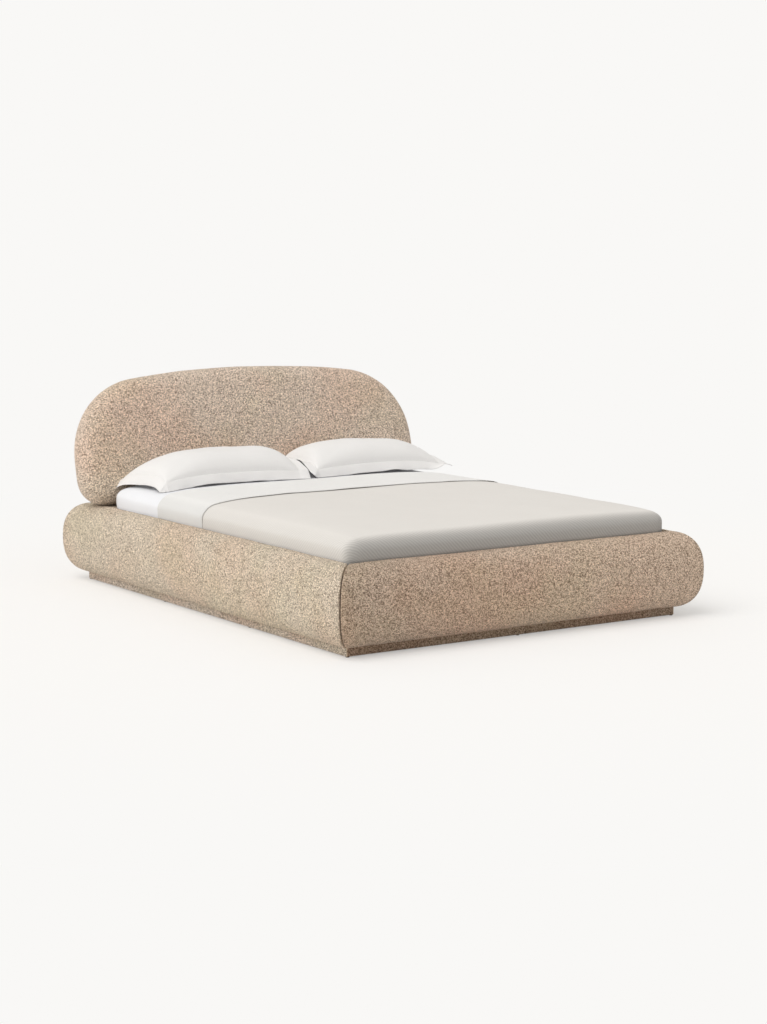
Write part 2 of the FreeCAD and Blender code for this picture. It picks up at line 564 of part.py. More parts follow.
def pebble(name, inset, thickness, edge, inset_now):
    """A slab with the headboard's outline, shrunk by an inset, standing on its lowest edge."""
    body = new_body(name)
    sketch = new_sketch(body, f"{name}_outline", "XZ_Plane")
    half = half_width + size.headboard_overhang - inset_now
    top = size.headboard_rise - inset_now
    base = size.headboard_base_radius - inset_now
    side = size.headboard_side_radius - inset_now
    shoulder = size.headboard_shoulder_radius - inset_now
    crown = size.headboard_crown_radius - inset_now
    level = size.headboard_base_radius
    # The shoulder's centre lies one radius difference from the centres of the crown and the side.
    crown_at = (0, top - crown)
    side_at = (half - side, level)
    gap = math.hypot(side_at[0] - crown_at[0], side_at[1] - crown_at[1])
    along = ((crown - shoulder) ** 2 - (side - shoulder) ** 2 + gap ** 2) / (2 * gap)
    off = math.sqrt((crown - shoulder) ** 2 - along ** 2)
    unit = ((side_at[0] - crown_at[0]) / gap, (side_at[1] - crown_at[1]) / gap)
    shoulder_at = (crown_at[0] + along * unit[0] + off * unit[1],
                   crown_at[1] + along * unit[1] - off * unit[0])
    if shoulder_at[0] < crown_at[0] or shoulder_at[0] < side_at[0]:
        shoulder_at = (crown_at[0] + along * unit[0] - off * unit[1],
                       crown_at[1] + along * unit[1] + off * unit[0])
    high = math.atan2(shoulder_at[1] - crown_at[1], shoulder_at[0] - crown_at[0])
    low = math.atan2(shoulder_at[1] - side_at[1], shoulder_at[0] - side_at[0])
    foot = half - base
    bottom = sketch.addGeometry(Part.LineSegment(FreeCAD.Vector(-foot, inset_now, 0),
                                                 FreeCAD.Vector(foot, inset_now, 0)))
    base_r = arc(sketch, (foot, level), base, -math.pi / 2, 0)
    side_r = arc(sketch, side_at, side, 0, low)
    shoulder_r = arc(sketch, shoulder_at, shoulder, low, high)
    crown_c = arc(sketch, crown_at, crown, high, math.pi - high)
    shoulder_l = arc(sketch, (-shoulder_at[0], shoulder_at[1]), shoulder, math.pi - high, math.pi - low)
    side_l = arc(sketch, (-side_at[0], level), side, math.pi - low, math.pi)
    base_l = arc(sketch, (-foot, level), base, math.pi, 1.5 * math.pi)
    chain = [bottom, base_r, side_r, shoulder_r, crown_c, shoulder_l, side_l, base_l]
    for first, second in zip(chain, chain[1:] + chain[:1]):
        sketch.addConstraint(Sketcher.Constraint("Tangent", first, 2, second, 1))
    for parts in (("Symmetric", bottom, 1, bottom, 2, -2), ("PointOnObject", crown_c, 3, -2),
                  ("Equal", base_r, base_l), ("Equal", side_r, side_l), ("Equal", shoulder_r, shoulder_l)):
        sketch.addConstraint(Sketcher.Constraint(*parts))
    rule(sketch, f"headboard_base_radius - {inset}", "Radius", base_r, base)
    rule(sketch, f"headboard_side_radius - {inset}", "Radius", side_r, side)
    rule(sketch, f"headboard_shoulder_radius - {inset}", "Radius", shoulder_r, shoulder)
    rule(sketch, f"headboard_crown_radius - {inset}", "Radius", crown_c, crown)
    rule(sketch, f"{inset}", "DistanceY", -1, 1, bottom, 1, inset_now)
    rule(sketch, "headboard_rise - headboard_crown_radius", "DistanceY", -1, 1, crown_c, 3, crown_at[1])
    rule(sketch, "headboard_base_radius", "DistanceY", -1, 1, side_r, 3, level)
    rule(sketch, "headboard_base_radius", "DistanceY", -1, 1, side_l, 3, level)
    rule(sketch, f"{HALF_WIDTH} + headboard_overhang - headboard_side_radius",
         "DistanceX", -1, 1, side_r, 3, side_at[0])
    slab = pad(body, sketch, thickness)
    if edge:
        doc.recompute()
        rims = [f"Edge{number}" for number, rim in enumerate(slab.Shape.Edges, start=1)
                if rim.BoundBox.YLength < 0.001]
        round_edges(body, slab, rims, edge)
    return body


def lean(body, forward="0"):
    """Stand a slab on the head deck at the headboard's lean, moved forward in its own frame."""
    angle = "(headboard_lean * 1deg)"
    place(body, "0", f"{HEADBOARD_MIDDLE} - ({forward}) * cos{angle}",
          f"{HEADBOARD_FOOT} + ({forward}) * sin{angle}", LEAN)
    return body


outside = lean(pebble("headboard_outside", "0", "headboard_thickness", "headboard_edge_radius", 0))
inside = lean(pebble("headboard_inside", "cover_thickness", "headboard_thickness - 2 * cover_thickness",
                     "headboard_edge_radius - cover_thickness", size.cover_thickness))
core = lean(pebble("headboard_core", "core_inset", "core_thickness", "", size.core_inset),
            "core_thickness / 2")
keep("headboard_core", core)


def strap(name, hand):
    """A steel bar bent at the deck: upright below it, along the core's back above it."""
    left = f"({hand}strap_spacing / 2 - strap_width / 2)"
    across = (left, f"{left} + strap_width")
    lower = box(f"{name}_lower", across, (HEADBOARD_MIDDLE, f"{HEADBOARD_MIDDLE} + strap_thickness"),
                (f"{RAIL_TOP} - strap_down", HEADBOARD_FOOT))
    upper = box(f"{name}_upper", across, ("0", "strap_thickness"), ("0", "strap_up"), LEAN)
    place(upper, left, HEADBOARD_MIDDLE, HEADBOARD_FOOT, LEAN)
    return joined(name, lower, upper)


STRAP_BOLT_LEVELS = [f"({RAIL_TOP} - strap_bolt_drop)",
                     f"({RAIL_TOP} - strap_bolt_drop - strap_bolt_spacing)"]
straps = []
strap_bolts = []
for hand in ("-", ""):
    centre = f"({hand}strap_spacing / 2)"
    bar = strap(f"strap_bar_{len(straps)}", hand)
    holes = []
    for level in STRAP_BOLT_LEVELS:
        holes.append(cylinder(f"strap_hole_{len(strap_bolts)}", "bolt_radius + bolt_hole_clearance",
                              "strap_thickness + 4", centre, f"{HEADBOARD_MIDDLE} - 2", level, TO_Y))
        strap_bolts.append(bolt(f"strap_bolt_{len(strap_bolts)}", centre,
                                f"{HEADBOARD_MIDDLE} - bolt_head_height", level, TO_Y, "strap_thickness"))
    straps.append(cut(f"strap_{len(straps)}", bar, *holes))
all_straps = keep("headboard_straps", group("headboard_straps", straps))
keep("strap_bolts", group("strap_bolts", strap_bolts))
keep("headboard_foam", cut("headboard_foam", inside, core, all_straps))
keep("headboard_cover", cut("headboard_cover", outside, inside, all_straps))

# ------------------------------------------------------------------ head deck

DECK_X = (f"-({BOARD_X} - cover_thickness - deck_gap)", f"{BOARD_X} - cover_thickness - deck_gap")
DECK_Y = (DECK_FRONT, f"{INNER_Y} - deck_gap")


def slots(name, low, high):
    """Openings for the two straps through a layer of the deck."""
    found = []
    for hand in ("-", ""):
        centre = f"({hand}strap_spacing / 2)"
        reach = "(strap_width / 2 + strap_slot_gap)"
        found.append(box(f"{name}_{len(found)}", (f"{centre} - {reach}", f"{centre} + {reach}"),
                         (f"{HEADBOARD_MIDDLE} - strap_slot_gap - strap_thickness",
                          f"{HEADBOARD_MIDDLE} + strap_thickness + strap_slot_gap"),
                         (f"{low} - 1", f"{high} + 1")))
    return found


deck_blank = box("deck_board_blank", DECK_X, DECK_Y, (DECK_BOARD_LOW, DECK_BOARD_TOP))
keep("deck_board", cut("deck_board", deck_blank, *slots("deck_board_slot", DECK_BOARD_LOW, DECK_BOARD_TOP)))
keep("deck_pad", cut("deck_pad", box("deck_pad_blank", DECK_X, DECK_Y, (DECK_BOARD_TOP, DECK_TOP)),
                     *slots("deck_pad_slot", DECK_BOARD_TOP, DECK_TOP)))
keep("deck_bearer", box("deck_bearer", (f"-{BOARD_X}", BOARD_X),
                        (BEARER_FRONT, f"{BEARER_FRONT} + deck_bearer_thickness"),
                        (f"{DECK_BOARD_LOW} - deck_bearer_height", DECK_BOARD_LOW)))


# ------------------------------------------------------------------ mattress and bedding

def cushion(name, grow, radius):
    """The mattress's block, grown on every side, with all its edges rounded."""
    body = new_body(name)
    block = body.newObject("PartDesign::AdditiveBox", f"{name}_block")
    for prop, formula in (("Length", "mattress_width"), ("Width", "mattress_length"),
                          ("Height", "mattress_height")):
        block.setExpression(prop, bound(f"{formula} + 2 * {grow}"))
    body.Tip = block
    round_edges(body, block, [], f"{radius} + {grow}")
    corner = (f"-mattress_width / 2 - {grow}", f"{MATTRESS_FOOT} - {grow}", f"{MATTRESS_LOW} - {grow}")
    return place(body, *corner)


WIDE = ("-mattress_width", "mattress_width")
FOLD = f"({MATTRESS_HEAD} - fold_from_head)"
HEM = f"({FOLD} - fold_width)"
HEM_LEVEL = f"({MATTRESS_TOP} - bedcover_drop)"
ABOVE = f"({MATTRESS_TOP} + mattress_round)"
TWO_LAYERS = "(sheet_thickness + bedcover_thickness)"
THREE_LAYERS = "(sheet_thickness + 2 * bedcover_thickness)"

mattress = keep("mattress", cushion("mattress_core", "0", "mattress_round"))
sheeted = cushion("sheet_outside", "sheet_thickness", "mattress_round")
covered = cushion("bedcover_outside", TWO_LAYERS, "mattress_round")
folded = cushion("fold_outside", THREE_LAYERS, "mattress_round")

opening = box("sheet_opening",
              ("sheet_turn_under - mattress_width / 2", "mattress_width / 2 - sheet_turn_under"),
              (f"{MATTRESS_FOOT} + sheet_turn_under", f"{MATTRESS_HEAD} - sheet_turn_under"),
              (f"{MATTRESS_LOW} - 10", f"{MATTRESS_LOW} + 10"))
keep("fitted_sheet", cut("fitted_sheet", sheeted, mattress, opening))

cover_zone = box("bedcover_zone", WIDE, (f"-{HALF_LENGTH}", FOLD), (HEM_LEVEL, ABOVE))
fold_zone = box("fold_zone", WIDE, (HEM, FOLD), (HEM_LEVEL, ABOVE))
cover_layer = cut("cover_layer", common("cover_whole", covered, cover_zone), sheeted)
fold_layer = cut("fold_layer", common("fold_whole", folded, fold_zone), covered)
keep("bedcover", joined("bedcover", cover_layer, fold_layer))


# ------------------------------------------------------------------ pillows

PILLOW_LEVELS = [("-0.3", "0.62"), ("-0.22", "0.88"), ("0", "1"), ("0.3", "0.86"), ("0.5", "0.6")]


def plump(name, grow):
    """A pillow's filling, crowned above and below its seam, grown on every side."""
    body = new_body(name)
    rings = []
    for number, (level, share) in enumerate(PILLOW_LEVELS):
        sketch = new_sketch(body, f"{name}_ring_{number}", "XY_Plane")
        lift = f"{level} * pillow_height"
        if level.startswith("-"):
            lift += f" - {grow}"
        elif level != "0":
            lift += f" + {grow}"
        sketch.setExpression("AttachmentOffset.Base.z", bound(lift))
        wide = f"({share} * pillow_width / 2 + {grow})"
        deep = f"({share} * pillow_depth / 2 + {grow})"
        rectangle(sketch, (f"-{wide}", wide), (f"-{deep}", deep))
        rings.append(sketch)
    loft = body.newObject("PartDesign::AdditiveLoft", f"{name}_loft")
    loft.Profile = rings[0]
    loft.Sections = rings[1:]
    loft.Ruled = True
    body.Tip = loft
    return body


TILT = FreeCAD.Rotation(FreeCAD.Vector(1, 0, 0), size.pillow_tilt)


def pillow(side, hand):
    """Filling and flanged case, the back edge raised against the headboard."""
    x = f"pillow_shift + {hand}(pillow_width / 2 + pillow_flange + pillow_gap / 2)"
    y = f"{DECK_FRONT} - pillow_back_gap"
    z = f"{MATTRESS_TOP} + pillow_lift"
    filling = keep(f"pillow_{side}", place(plump(f"pillow_{side}", "0"), x, y, z, TILT))
    swollen = place(plump(f"case_{side}", "pillowcase_thickness"), x, y, z, TILT)
    border = new_body(f"flange_{side}")
    outline = new_sketch(border, f"flange_{side}_outline", "XY_Plane")
    wide = "(pillow_width / 2 + pillow_flange)"
    deep = "(pillow_depth / 2 + pillow_flange)"
    rectangle(outline, (f"-{wide}", wide), (f"-{deep}", deep))
    pad(border, outline, "2 * pillowcase_thickness")
    place(border, x, y, z, TILT)
    whole = joined(f"case_whole_{side}", swollen, border)
    keep(f"pillowcase_{side}", cut(f"pillowcase_{side}", whole, filling))


pillow("left", "-1 * ")
pillow("right", "1 * ")

# ------------------------------------------------------------------ check and write

doc.recompute()
for thing in doc.Objects:
    if "Invalid" in thing.State or "Error" in thing.State:
        raise RuntimeError(f"{thing.Label} did not build: {thing.State}")
for label, thing in pieces.items():
    if thing.Shape.isNull() or not thing.Shape.isValid() or not thing.Shape.Solids:
        raise RuntimeError(f"{label} is not a valid solid")

os.makedirs("parts", exist_ok=True)
for label, thing in pieces.items():
    thing.Shape.exportStep(f"parts/{label}.step")
print(len(pieces), "pieces written")
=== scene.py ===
# %% [markdown]
# # An upholstered bed, dressed
#
# The bed stands on the floor with its foot towards -Y and its headboard towards +Y. The boards,
# slats, brackets and bolts arrive as finished solids. Everything soft is made here around them:
# the looped upholstery, the mattress, its sheet and cover, and the two pillows.

import json
import math

import bmesh
import bpy
from mathutils import Matrix, Vector, noise

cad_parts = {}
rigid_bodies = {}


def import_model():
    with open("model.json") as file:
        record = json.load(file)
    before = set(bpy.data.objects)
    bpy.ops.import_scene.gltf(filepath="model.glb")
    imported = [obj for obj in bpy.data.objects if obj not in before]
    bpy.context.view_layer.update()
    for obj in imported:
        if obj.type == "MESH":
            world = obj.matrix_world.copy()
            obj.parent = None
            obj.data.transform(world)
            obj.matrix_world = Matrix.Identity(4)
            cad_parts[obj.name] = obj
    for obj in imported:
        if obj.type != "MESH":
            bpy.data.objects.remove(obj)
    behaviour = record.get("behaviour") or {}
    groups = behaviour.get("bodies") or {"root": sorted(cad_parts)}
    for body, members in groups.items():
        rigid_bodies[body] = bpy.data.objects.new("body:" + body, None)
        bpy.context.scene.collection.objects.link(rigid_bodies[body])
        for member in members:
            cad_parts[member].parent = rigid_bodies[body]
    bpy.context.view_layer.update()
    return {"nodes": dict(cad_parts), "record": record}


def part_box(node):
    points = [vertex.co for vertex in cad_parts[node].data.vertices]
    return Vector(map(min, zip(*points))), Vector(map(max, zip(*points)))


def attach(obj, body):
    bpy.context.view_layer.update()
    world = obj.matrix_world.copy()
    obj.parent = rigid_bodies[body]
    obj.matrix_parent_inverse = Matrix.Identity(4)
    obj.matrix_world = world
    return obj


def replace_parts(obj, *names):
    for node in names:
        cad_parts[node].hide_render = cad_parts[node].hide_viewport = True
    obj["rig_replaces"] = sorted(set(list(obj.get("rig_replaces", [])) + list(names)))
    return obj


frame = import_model()
print("frame loaded:", len(frame["nodes"]), "solids")

# %% [markdown]
# ## Camera
#
# A long lens keeps the bed's lines nearly parallel, as in a furniture catalogue. The camera stands
# at the left of the foot and looks slightly down. Its place is in metres and its turn in degrees,
# so that both can be read and changed.

# %% Camera
CAMERA_LENS = 74.9
CAMERA_PLACE = (-5.156, -7.905, 1.628)
CAMERA_TURN = math.radians(33.57)
CAMERA_DIP = math.radians(7.53)
camera = bpy.data.objects.new("camera", bpy.data.cameras.new("camera"))
bpy.context.collection.objects.link(camera)
bpy.context.scene.camera = camera
camera.data.lens = CAMERA_LENS
camera.location = CAMERA_PLACE
camera.rotation_euler = (math.pi / 2 - CAMERA_DIP, 0, -CAMERA_TURN)
bpy.context.scene.view_settings.view_transform = "Standard"
print("camera lens", camera.data.lens, "mm")

# %% [markdown]
# ## Helpers for node trees
#
# Materials and geometry trees are built from many small nodes. One helper makes a node, sets its
# options and either types a value into each socket or plugs another node's output into it.

# %% Node helpers
def add(tree, kind, inputs=None, **options):
    """A new node with its options set and its inputs typed or linked."""
    made = tree.nodes.new(kind)
    for option, value in options.items():
        setattr(made, option, value)
    for socket, value in (inputs or {}).items():
        if isinstance(value, bpy.types.NodeSocket):
            tree.links.new(value, made.inputs[socket])
        else:
            made.inputs[socket].default_value = value
    return made


def calc(tree, operation, *values, clamp=False):
    """The output of a Math node."""
    made = add(tree, "ShaderNodeMath", dict(enumerate(values)), operation=operation, use_clamp=clamp)
    return made.outputs[0]


def tint(tree, factor, first, second, mode="MIX"):
    """The output of a colour Mix node."""
    made = add(tree, "ShaderNodeMix", {0: factor, 6: first, 7: second}, data_type="RGBA", blend_type=mode)
    return made.outputs[2]


def spread(tree, value, low, high, to_low=0.0, to_high=1.0):
    """A value moved smoothly from one range to another and held at its ends."""
    made = add(tree, "ShaderNodeMapRange", {0: value, 1: low, 2: high, 3: to_low, 4: to_high},
               interpolation_type="SMOOTHSTEP")
    return made.outputs[0]


def grain_noise(tree, place, scale, detail=2.0, rough=0.5):
    """The value of a noise texture at a place."""
    made = add(tree, "ShaderNodeTexNoise",
               {"Vector": place, "Scale": scale, "Detail": detail, "Roughness": rough})
    return made.outputs[0]


print("node helpers ready")

# %% [markdown]
# ## Groups and materials
#
# A finish that several materials share is one node group with named sockets, such as the yarn's
# tone or the thread's width. Each material places the group and types its own values into it.

# %% Group and material helpers
def shader_group(name, inputs, outputs):
    """An empty shader node group with named sockets; a tuple default makes a colour or vector."""
    tree = bpy.data.node_groups.new(name, "ShaderNodeTree")
    for socket, (kind, default) in inputs.items():
        made = tree.interface.new_socket(socket, in_out="INPUT", socket_type=f"NodeSocket{kind}")
        if default is not None:
            made.default_value = default
    for socket, kind in outputs.items():
        tree.interface.new_socket(socket, in_out="OUTPUT", socket_type=f"NodeSocket{kind}")
    return tree, tree.nodes.new("NodeGroupInput").outputs, tree.nodes.new("NodeGroupOutput").inputs


def material(name):
    """A new material, its tree and its Principled shader."""
    made = bpy.data.materials.new(name)
    made.use_nodes = True
    return made, made.node_tree, made.node_tree.nodes["Principled BSDF"]


def use_group(tree, group, inputs):
    """The outputs of a node group placed in a tree."""
    return add(tree, "ShaderNodeGroup", inputs, node_tree=group).outputs


def bumped(tree, height, distance, strength=1.0):
    """The normal that a height in metres gives."""
    made = add(tree, "ShaderNodeBump", {"Height": height, "Distance": distance, "Strength": strength})
    return made.outputs[0]


print("group and material helpers ready")

# %% [markdown]
# ## Surround
#
# The bed stands in an even, pale surround. It looks paler to the camera than it shines on the
# bed, which the Light Path node allows.

# %% Surround
SURROUND = (0.947, 0.938, 0.922, 1)
SKY_LIGHT = 0.60

world = bpy.data.worlds.new("surround")
bpy.context.scene.world = world
world.use_nodes = True
sky = world.node_tree
sky.nodes["Background"].inputs["Color"].default_value = (1.0, 0.985, 0.965, 1)
sky.nodes["Background"].inputs["Strength"].default_value = SKY_LIGHT
seen = add(sky, "ShaderNodeLightPath")
plain = add(sky, "ShaderNodeBackground", {"Color": SURROUND, "Strength": 1.0})
direct = calc(sky, "MAXIMUM", seen.outputs["Is Camera Ray"], seen.outputs["Is Glossy Ray"])
direct = calc(sky, "MAXIMUM", direct, seen.outputs["Is Transmission Ray"])
both = add(sky, "ShaderNodeMixShader", {0: direct, 1: sky.nodes["Background"].outputs[0],
                                        2: plain.outputs[0]})
sky.links.new(both.outputs[0], sky.nodes["World Output"].inputs["Surface"])
print("surround:", len(sky.nodes), "nodes")

# %% [markdown]
# ## Floor
#
# The floor is a plain diffuse surface near the bed, so that it takes the shadow. It fades into
# the surround's own colour further out, so that no horizon shows.

# %% Floor
FLOOR_REACH = 60.0
GLOW_NEAR, GLOW_FAR = 1.5, 4.2
NEAR_GLOW = 0.40

floor_mesh = bpy.data.meshes.new("floor")
floor_corners = [(x * FLOOR_REACH, y * FLOOR_REACH, 0) for x, y in ((-1, -1), (1, -1), (1, 1), (-1, 1))]
floor_mesh.from_pydata(floor_corners, [], [(0, 1, 2, 3)])
floor = bpy.data.objects.new("floor", floor_mesh)
bpy.context.collection.objects.link(floor)
floor_paint, tree, surface = material("floor_paint")
surface.inputs["Base Color"].default_value = (0.925, 0.918, 0.908, 1)
surface.inputs["Roughness"].default_value = 0.9
surface.inputs["Specular IOR Level"].default_value = 0.0
glow = add(tree, "ShaderNodeEmission", {"Color": SURROUND, "Strength": 1.0})
where = add(tree, "ShaderNodeTexCoord").outputs["Object"]
away = add(tree, "ShaderNodeVectorMath", {0: where}, operation="LENGTH").outputs["Value"]
faded = spread(tree, away, GLOW_NEAR, GLOW_FAR, NEAR_GLOW, 1.0)
seen = add(tree, "ShaderNodeLightPath")
faded = calc(tree, "MULTIPLY", faded, seen.outputs["Is Camera Ray"])
both = add(tree, "ShaderNodeMixShader", {0: faded, 1: surface.outputs[0], 2: glow.outputs[0]})
tree.links.new(both.outputs[0], tree.nodes["Material Output"].inputs["Surface"])
floor_mesh.materials.append(floor_paint)
print("floor fades out between", GLOW_NEAR, "and", GLOW_FAR, "m")

# %% [markdown]
# ## Lamp
#
# Light comes from one broad, soft sun lamp high on the left, like a large window. Its softness is
# the angle that it seems to fill, in degrees: a wide one blurs the edge of the shadow.

# %% Lamp
def sun(name, azimuth, elevation, strength, softness, colour):
    """A sun lamp that shines from an azimuth (0 is from -Y, 90 from -X) and an elevation."""
    lamp = bpy.data.lights.new(name, "SUN")
    lamp.energy = strength
    lamp.angle = math.radians(softness)
    lamp.color = colour
    holder = bpy.data.objects.new(name, lamp)
    bpy.context.collection.objects.link(holder)
    turn, rise = math.radians(azimuth), math.radians(elevation)
    source = Vector((-math.sin(turn) * math.cos(rise), -math.cos(turn) * math.cos(rise), math.sin(rise)))
    holder.rotation_euler = source.to_track_quat("Z", "Y").to_euler()
    holder.location = source * 5


sun("window", azimuth=78, elevation=53, strength=1.76, softness=50, colour=(1.0, 0.985, 0.96))
print("lamps:", len(bpy.data.lights))

# %% [markdown]
# ## Boucle
#
# Boucle is woven from a yarn with small loops of uneven size, so its face is a crowd of knobs a
# few millimetres across. Each knob catches the light, and the yarn's own colour drifts between
# cream, sand and brown. A cell pattern gives one random shade and one rounded height to each
# knob; finer noise breaks it into fibres, and very broad noise adds the soft pink and green
# patches that a dyed mixed yarn shows across a wide panel.

# %% Boucle group
KNOBS_PER_METRE = 285.0
YARN_SHADES = ((0.0, (0.24, 0.20, 0.17, 1)), (0.22, (0.57, 0.53, 0.49, 1)), (0.52, (1.01, 1.00, 0.985, 1)),
               (0.80, (1.33, 1.335, 1.34, 1)), (1.0, (1.50, 1.52, 1.54, 1)))
ROSY_PATCH = (1.01, 0.925, 0.89, 1)
GREEN_PATCH = (0.95, 0.97, 0.91, 1)


def build_loop_pile():
    """The shade and height of looped yarn: knobs, fibres, painted shade in the gaps and broad soft patches.
    """
    tree, given, out = shader_group(
        "loop_pile",
        {"Vector": ("Vector", None), "Knobs": ("Float", KNOBS_PER_METRE),
         "Tone": ("Color", (0.5, 0.4, 0.3, 1)), "Patch Seed": ("Float", 0.0)},
        {"Color": "Color", "Height": "Float"})
    wander = add(tree, "ShaderNodeTexNoise", {"Vector": given["Vector"], "Scale": 90.0, "Detail": 1.0})
    stray = add(tree, "ShaderNodeVectorMath", {0: wander.outputs["Color"], 1: (0.5, 0.5, 0.5)},
                operation="SUBTRACT").outputs[0]
    stray = add(tree, "ShaderNodeVectorMath", {0: stray, "Scale": 0.006}, operation="SCALE").outputs[0]
    place = add(tree, "ShaderNodeVectorMath", {0: given["Vector"], 1: stray}, operation="ADD").outputs[0]
    knobs = add(tree, "ShaderNodeTexVoronoi", {"Vector": place, "Scale": given["Knobs"]})
    shade = add(tree, "ShaderNodeSeparateColor", {0: knobs.outputs["Color"]}).outputs[0]
    dome = spread(tree, knobs.outputs["Distance"], 0.15, 0.75, 1.0, 0.0)
    fibre = grain_noise(tree, given["Vector"], 620.0, 2.0, 0.6)
    shade = calc(tree, "MULTIPLY_ADD", calc(tree, "SUBTRACT", fibre, 0.5), 0.9, shade)
    yarn = add(tree, "ShaderNodeValToRGB", {0: shade})
    stops = yarn.color_ramp.elements
    for stop, (position, colour) in zip((stops[0], stops[1]), (YARN_SHADES[0], YARN_SHADES[-1])):
        stop.position = position
        stop.color = colour
    for position, colour in YARN_SHADES[1:-1]:
        stops.new(position).color = colour
    mottled = tint(tree, 1.0, given["Tone"], yarn.outputs[0], "MULTIPLY")
    # Painted shade: each knob's colour darkens towards the gaps between knobs.
    shadowed = tint(tree, 1.0, mottled, spread(tree, dome, 0.0, 0.6, 0.62, 1.0), "MULTIPLY")
    seed = add(tree, "ShaderNodeCombineXYZ", {0: given["Patch Seed"]}).outputs[0]
    shifted = add(tree, "ShaderNodeVectorMath", {0: given["Vector"], 1: seed}, operation="ADD").outputs[0]
    rosy = spread(tree, grain_noise(tree, shifted, 2.3, 2.0, 0.5), 0.42, 0.66)
    green = spread(tree, grain_noise(tree, shifted, 3.1, 2.0, 0.5), 0.44, 0.68)
    patched = tint(tree, calc(tree, "MULTIPLY", rosy, 0.75), shadowed, ROSY_PATCH, "MULTIPLY")
    patched = tint(tree, calc(tree, "MULTIPLY", green, 0.7), patched, GREEN_PATCH, "MULTIPLY")
    tree.links.new(patched, out["Color"])
    knob_height = calc(tree, "MULTIPLY", dome, calc(tree, "MULTIPLY_ADD", shade, 0.5, 0.6))
    tree.links.new(calc(tree, "MULTIPLY_ADD", fibre, 0.35, knob_height), out["Height"])
    return tree


loop_pile = build_loop_pile()
print("loop pile group:", len(loop_pile.nodes), "nodes")

# %% [markdown]
# ## The bed's boucle finishes
#
# One cloth looks different from place to place, because some faces stand in softer light than one
# lamp gives them. So each part of the bed gets its own tone of the same group, painted lighter or
# darker to stand in for that light and shade, and the foot rail's tone is also painted darker from
# the right to the left, as painted shade.

# %% Boucle finishes
# Painted shade on the foot rail runs along X between these two places.
PAINTED_SHADE_DARK_X, PAINTED_SHADE_LIGHT_X = -1.1, 0.5
LOOP_HEIGHT = 0.003


def boucle(name, tone, seed, painted_shade=1.0):
    """A boucle finish; below 1, the last argument darkens the fabric towards -X as painted shade."""
    made, tree, surface = material(name)
    place = add(tree, "ShaderNodeTexCoord").outputs["Object"]
    across = add(tree, "ShaderNodeSeparateXYZ", {0: place}).outputs[0]
    # Painted shade: below 1 the tone darkens towards -X, away from the lamp.
    lit = spread(tree, across, PAINTED_SHADE_DARK_X, PAINTED_SHADE_LIGHT_X, painted_shade, (1 + painted_shade) / 2 + 0.08 * (1 - painted_shade))
    toned = tint(tree, 1.0, tone, lit, "MULTIPLY")
    pile = use_group(tree, loop_pile, {"Vector": place, "Knobs": KNOBS_PER_METRE, "Tone": toned,
                                       "Patch Seed": seed})
    tree.links.new(pile["Color"], surface.inputs["Base Color"])
    tree.links.new(bumped(tree, pile["Height"], LOOP_HEIGHT, 0.7), surface.inputs["Normal"])
    surface.inputs["Roughness"].default_value = 0.95
    surface.inputs["Specular IOR Level"].default_value = 0.15
    surface.inputs["Sheen Weight"].default_value = 0.25
    surface.inputs["Sheen Roughness"].default_value = 0.45
    surface.inputs["Sheen Tint"].default_value = (0.9, 0.82, 0.72, 1)
    return made


# Painted light and shade: the headboard's tone is lighter and the foot rail's darker than the side rails',
# the plinth's main tone is much darker as painted shade under the rails, and its long sides are painted
# lighter.
boucle_rails = boucle("boucle_rails", (0.80, 0.69, 0.555, 1), 1.7)
boucle_foot = boucle("boucle_foot_rail", (0.80, 0.62, 0.48, 1), 4.4, 0.74)
boucle_head = boucle("boucle_headboard", (0.865, 0.72, 0.60, 1), 6.1)
boucle_plinth = boucle("boucle_plinth", (0.46, 0.345, 0.255, 1), 2.9)
boucle_plinth_side = boucle("boucle_plinth_side", (0.90, 0.79, 0.68, 1), 3.8)
print("boucle finishes:", sum(made.name.startswith("boucle_") for made in bpy.data.materials))

# %% [markdown]
# ## Sewing
#
# Stitches and piping follow lines on the finished cloth, so they are made by two small geometry
# trees. The first walks along a line, sets one rounded stitch at each step and turns it along the
# line. The second carries a round cord along a line.

# %% Sewing trees
def sewing_tree(name, sizes):
    """A geometry tree that takes a line, named sizes and a material."""
    tree = bpy.data.node_groups.new(name, "GeometryNodeTree")
    tree.interface.new_socket("Line", in_out="INPUT", socket_type="NodeSocketGeometry")
    for size in sizes:
        made = tree.interface.new_socket(size, in_out="INPUT", socket_type="NodeSocketFloat")
        made.subtype = "DISTANCE"
    tree.interface.new_socket("Finish", in_out="INPUT", socket_type="NodeSocketMaterial")
    tree.interface.new_socket("Sewing", in_out="OUTPUT", socket_type="NodeSocketGeometry")
    given = tree.nodes.new("NodeGroupInput").outputs
    out = tree.nodes.new("NodeGroupOutput").inputs
    return tree, given, out, add(tree, "GeometryNodeMeshToCurve", {0: given["Line"]}).outputs[0]


def close_tree(tree, given, out, shape):
    """Ends a sewing tree: its shape is made real and takes the finish."""
    plain = add(tree, "GeometryNodeRealizeInstances", {0: shape}).outputs[0]
    dressed = add(tree, "GeometryNodeSetMaterial", {"Geometry": plain, "Material": given["Finish"]})
    tree.links.new(dressed.outputs[0], out["Sewing"])
    return tree


